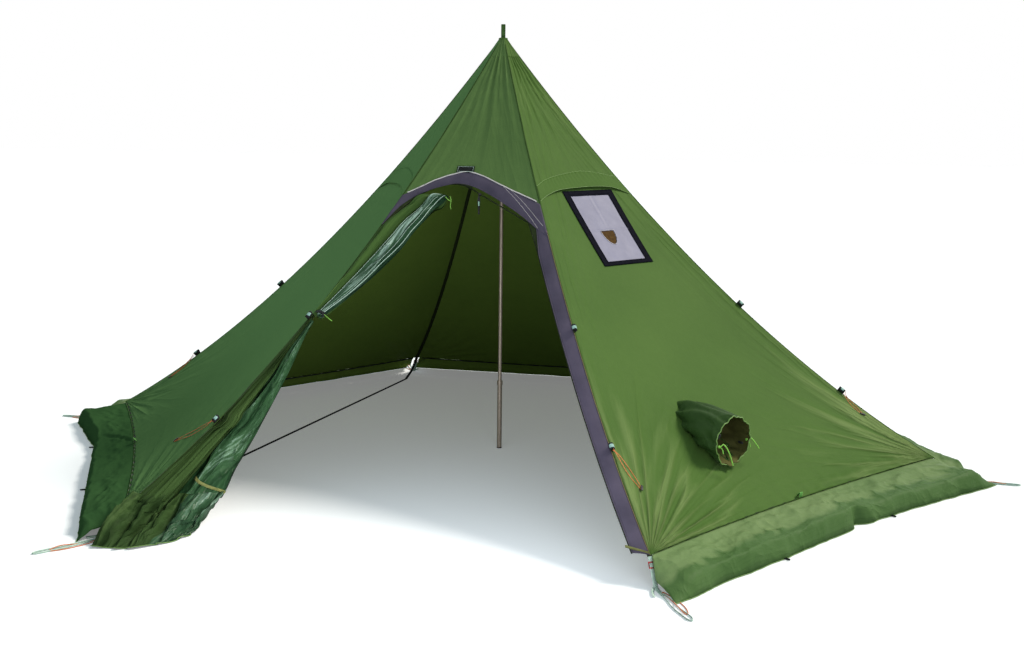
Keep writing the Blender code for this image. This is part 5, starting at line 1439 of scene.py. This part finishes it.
# Reach, step aside and height of the webbing's tail and of the orange loop.
WEBBING_TAIL = [(2.566, 0.016, 0.014), (2.58, 0.022, 0.010), (2.60, 0.034, 0.007), (2.65, 0.046, 0.0065)]
ORANGE_LOOP = [(2.60, -0.012, 0.003), (2.68, -0.030, 0.0025), (2.78, -0.034, 0.0025),
               (2.85, -0.020, 0.0025), (2.86, -0.004, 0.0025), (2.80, 0.002, 0.0120),
               (2.70, -0.010, 0.0025), (2.61, -0.006, 0.004)]
for number, (corner, degrees) in enumerate(CORNERS.items()):
    out, aside = heading(degrees), heading(degrees + 90)

    def spot(reach, over, height, out=out, aside=aside):
        return out * reach + aside * over + Vector((0, 0, height))

    run = smooth_route([spot(reach, 0.0, height) for reach, height in STRAP], 48)
    band = strip(f"{corner}_corner_webbing", run, lambda index: aside * 0.0100, 0.0010, mint_web)
    loops = []
    for label, bow in (("left", -0.011), ("right", 0.011)):
        knots = [(2.62, bow * 0.5), (2.70, bow + 0.004 * math.sin(number)),
                 (2.80, bow * 1.2 + 0.006 * math.cos(number * 2.0)), (2.89, bow * 1.3),
                 (2.925, bow * 0.9), (2.938, 0.0)]
        route = smooth_route([spot(reach, over, 0.0042) for reach, over in knots], 36)
        loops.append(strip(f"{corner}_peg_loop_{label}", route,
                           lambda index: Vector((0, 0, 0.0036)) + aside * 0.0008, 0.0013, mint_web, 2))
    tail = smooth_route([spot(*knot) for knot in WEBBING_TAIL], 16)
    loops.append(strip(f"{corner}_webbing_tail", tail, lambda index: aside * 0.0060 + Vector((0, 0, 0.004)),
                       0.0012, mint_web, 2))
    ring = smooth_route([spot(*knot) for knot in ORANGE_LOOP], 48)
    loops.append(drawn_line(f"{corner}_orange_loop", ring, 0.0022, orange_braid))
    fasten("pale_webbing", band, *loops)
    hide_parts(f"{corner}_corner_strap")
    finish_node(f"{corner}_buckle", red_metal)
finish_node("floor_strap", black_web)


# Guyline runners: each cord passes a small black runner at the far end of its loop. It is a rounded
# bar that lies flat on the cloth.
for corner, (line, route) in guylines.items():
    middle = len(route) // 2
    along = (route[middle + 2] - route[middle - 2]).normalized()
    side = SIDES[GUYLINES[corner][0]]
    stand = lean(side, LOWER_TAB + GUYLINES[corner][1], 0.5)
    body = bmesh.new()
    bmesh.ops.create_cube(body, size=1.0)
    bmesh.ops.scale(body, vec=(0.034, 0.012, 0.004), verts=body.verts)
    bmesh.ops.bevel(body, geom=body.edges[:], offset=0.0016, offset_type="OFFSET", segments=2, profile=0.5,
                    affect="EDGES", material=-1)
    wide = stand.cross(along).normalized()
    turned = Matrix((along, wide, along.cross(wide))).transposed().to_4x4()
    moved = Matrix.Translation(route[middle] + stand * 0.0038)
    bmesh.ops.transform(body, matrix=moved @ turned, verts=body.verts)
    runner = made_piece(f"{corner}_runner", body, [black_plastic])
    runner.data.shade_smooth()
    runner.data.set_sharp_from_angle(angle=0.7)
    fasten("black_plastic", runner)
    length = sum((after - before).length for before, after in zip(route, route[1:]))
    tuple(route[0])


# Tag: a bare black woven tag with a stitched border, sewn on the front above the arch. It bulges a
# little between its long edges.
tag_web = web_finish("tag_cloth", (0.020, 0.024, 0.024), (0.008, 0.010, 0.010), 0.7)


def tag_place(column, row, lift):
    return skin_at(FRONT, 0.059 + 0.096 * (column - 0.5), 0.633 + 0.030 * (row - 0.5), lift)


tag = flat_cloth("bare_tag", 24, 10,
                 lambda column, row: tag_place(column, row, 0.0055 + 0.0012 * arched(row)),
                 plain(0.1, 0.035), from_middle, [tag_web], 0.0012)
ring = []
corners = [(0.06, 0.12), (0.94, 0.12), (0.94, 0.88), (0.06, 0.88), (0.06, 0.12)]
for start, end in zip(corners, corners[1:]):
    ring += [tag_place(*between(start, end, step / 16), 0.0068) for step in range(16)]
tag_stitch = drawn_line("tag_stitching", [*ring, ring[0]], 0.0007, mint_web, 1)
fasten("black_webbing", tag, tag_stitch)


# Top tie and tie-back: a lime cord hangs from the door's top tie, and another with a black toggle
# holds the tie-back.
hang = Vector((-0.112, -0.655, 1.530))
low, high = (Vector(corner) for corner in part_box("door_tieback"))
beside = Vector((high.x - 0.004, low.y + 0.010, (high.z + low.z) / 2))
ties = {
    "top_tie_cord": (hang, 14, [(0, 0, 0), (0.006, 0, -0.024), (0.002, 0, -0.052), (0.006, 0, -0.070)]),
    "top_tie_fork": (hang, 10, [(-0.026, 0, -0.004), (-0.010, 0, -0.020), (0.006, 0, -0.028)]),
    "tie_back_cord": (beside, 12, [(0, 0, 0), (0.022, -0.012, -0.012), (0.050, -0.016, -0.030)]),
}
for name, (start, count, knots) in ties.items():
    route = smooth_route([start + Vector(knot) for knot in knots], count)
    fasten("green_cloth", drawn_line(name, route, 0.0017, lime_cord))
toggle_ends = [beside + Vector((0, -0.014, 0.013 - 0.026 * t / 6)) for t in range(7)]
fasten("black_plastic", drawn_line("tie_back_toggle", toggle_ends, 0.0042, black_plastic))


# Floor and light: a plain pale floor under an even pale sky, a soft warm sun high on the right, and
# two low broad lamps in front, one for the door's folds and one for the inside.
floor_finish, shader, add = new_material("pale_floor")
rays = add("LightPath")
tone = add("Mix", {"data_type": "RGBA"}, i0=rays.outputs["Is Camera Ray"], i6=(0.50, 0.52, 0.54, 1),
           i7=(0.88, 0.93, 0.99, 1))
surface(shader, tone.outputs[2], 0.9, shine=0.0)
shader.inputs["Emission Color"].default_value = (1, 1, 1, 1)
glow = add("Math", {"operation": "MULTIPLY"}, i0=rays.outputs["Is Camera Ray"], i1=0.19)
floor_finish.node_tree.links.new(glow.outputs[0], shader.inputs["Emission Strength"])
body = bmesh.new()
bmesh.ops.create_grid(body, x_segments=1, y_segments=1, size=60.0)
bmesh.ops.translate(body, vec=(0, 0, -0.0006), verts=body.verts)
made_piece("floor", body, [floor_finish])

sun = bpy.data.lights.new("key_lamp", "SUN")
sun.energy = 3.2
sun.angle = 0.32
sun.color = (1.0, 0.91, 0.79)
door_lamp = bpy.data.lights.new("door_lamp", "AREA")
door_lamp.energy = 70.0
door_lamp.size = 2.5
inside_lamp = bpy.data.lights.new("inside_lamp", "AREA")
inside_lamp.energy = 16.0
inside_lamp.size = 1.3
lamps = [(sun, (6.0, 3.4, 8.0)), (door_lamp, (3.6, -6.3, 1.6)), (inside_lamp, (0.25, -2.7, 0.5))]
for lamp, place in lamps:
    thing = bpy.data.objects.new(lamp.name, lamp)
    thing.location = place
    thing.rotation_euler = (Vector((0, 0, 0.9)) - Vector(place)).to_track_quat("-Z", "Y").to_euler()
    bpy.context.scene.collection.objects.link(thing)

world = bpy.data.worlds.new("sky")
world.use_nodes = True
sky = world.node_tree
add = node_adder(sky)
seen = add("LightPath")
open_view = add("Math", {"operation": "MAXIMUM"}, i0=seen.outputs["Is Camera Ray"],
                i1=seen.outputs["Is Glossy Ray"]).outputs[0]
strength = add("MapRange", i0=open_view, i3=0.36, i4=1.0)
colour = add("Mix", {"data_type": "RGBA"}, i0=open_view, i6=(0.80, 0.97, 1.0, 1), i7=(1, 1, 1, 1))
sky.links.new(colour.outputs[2], sky.nodes["Background"].inputs["Color"])
sky.links.new(strength.outputs["Result"], sky.nodes["Background"].inputs["Strength"])
bpy.context.scene.world = world
bpy.context.scene.view_settings.view_transform = "Standard"
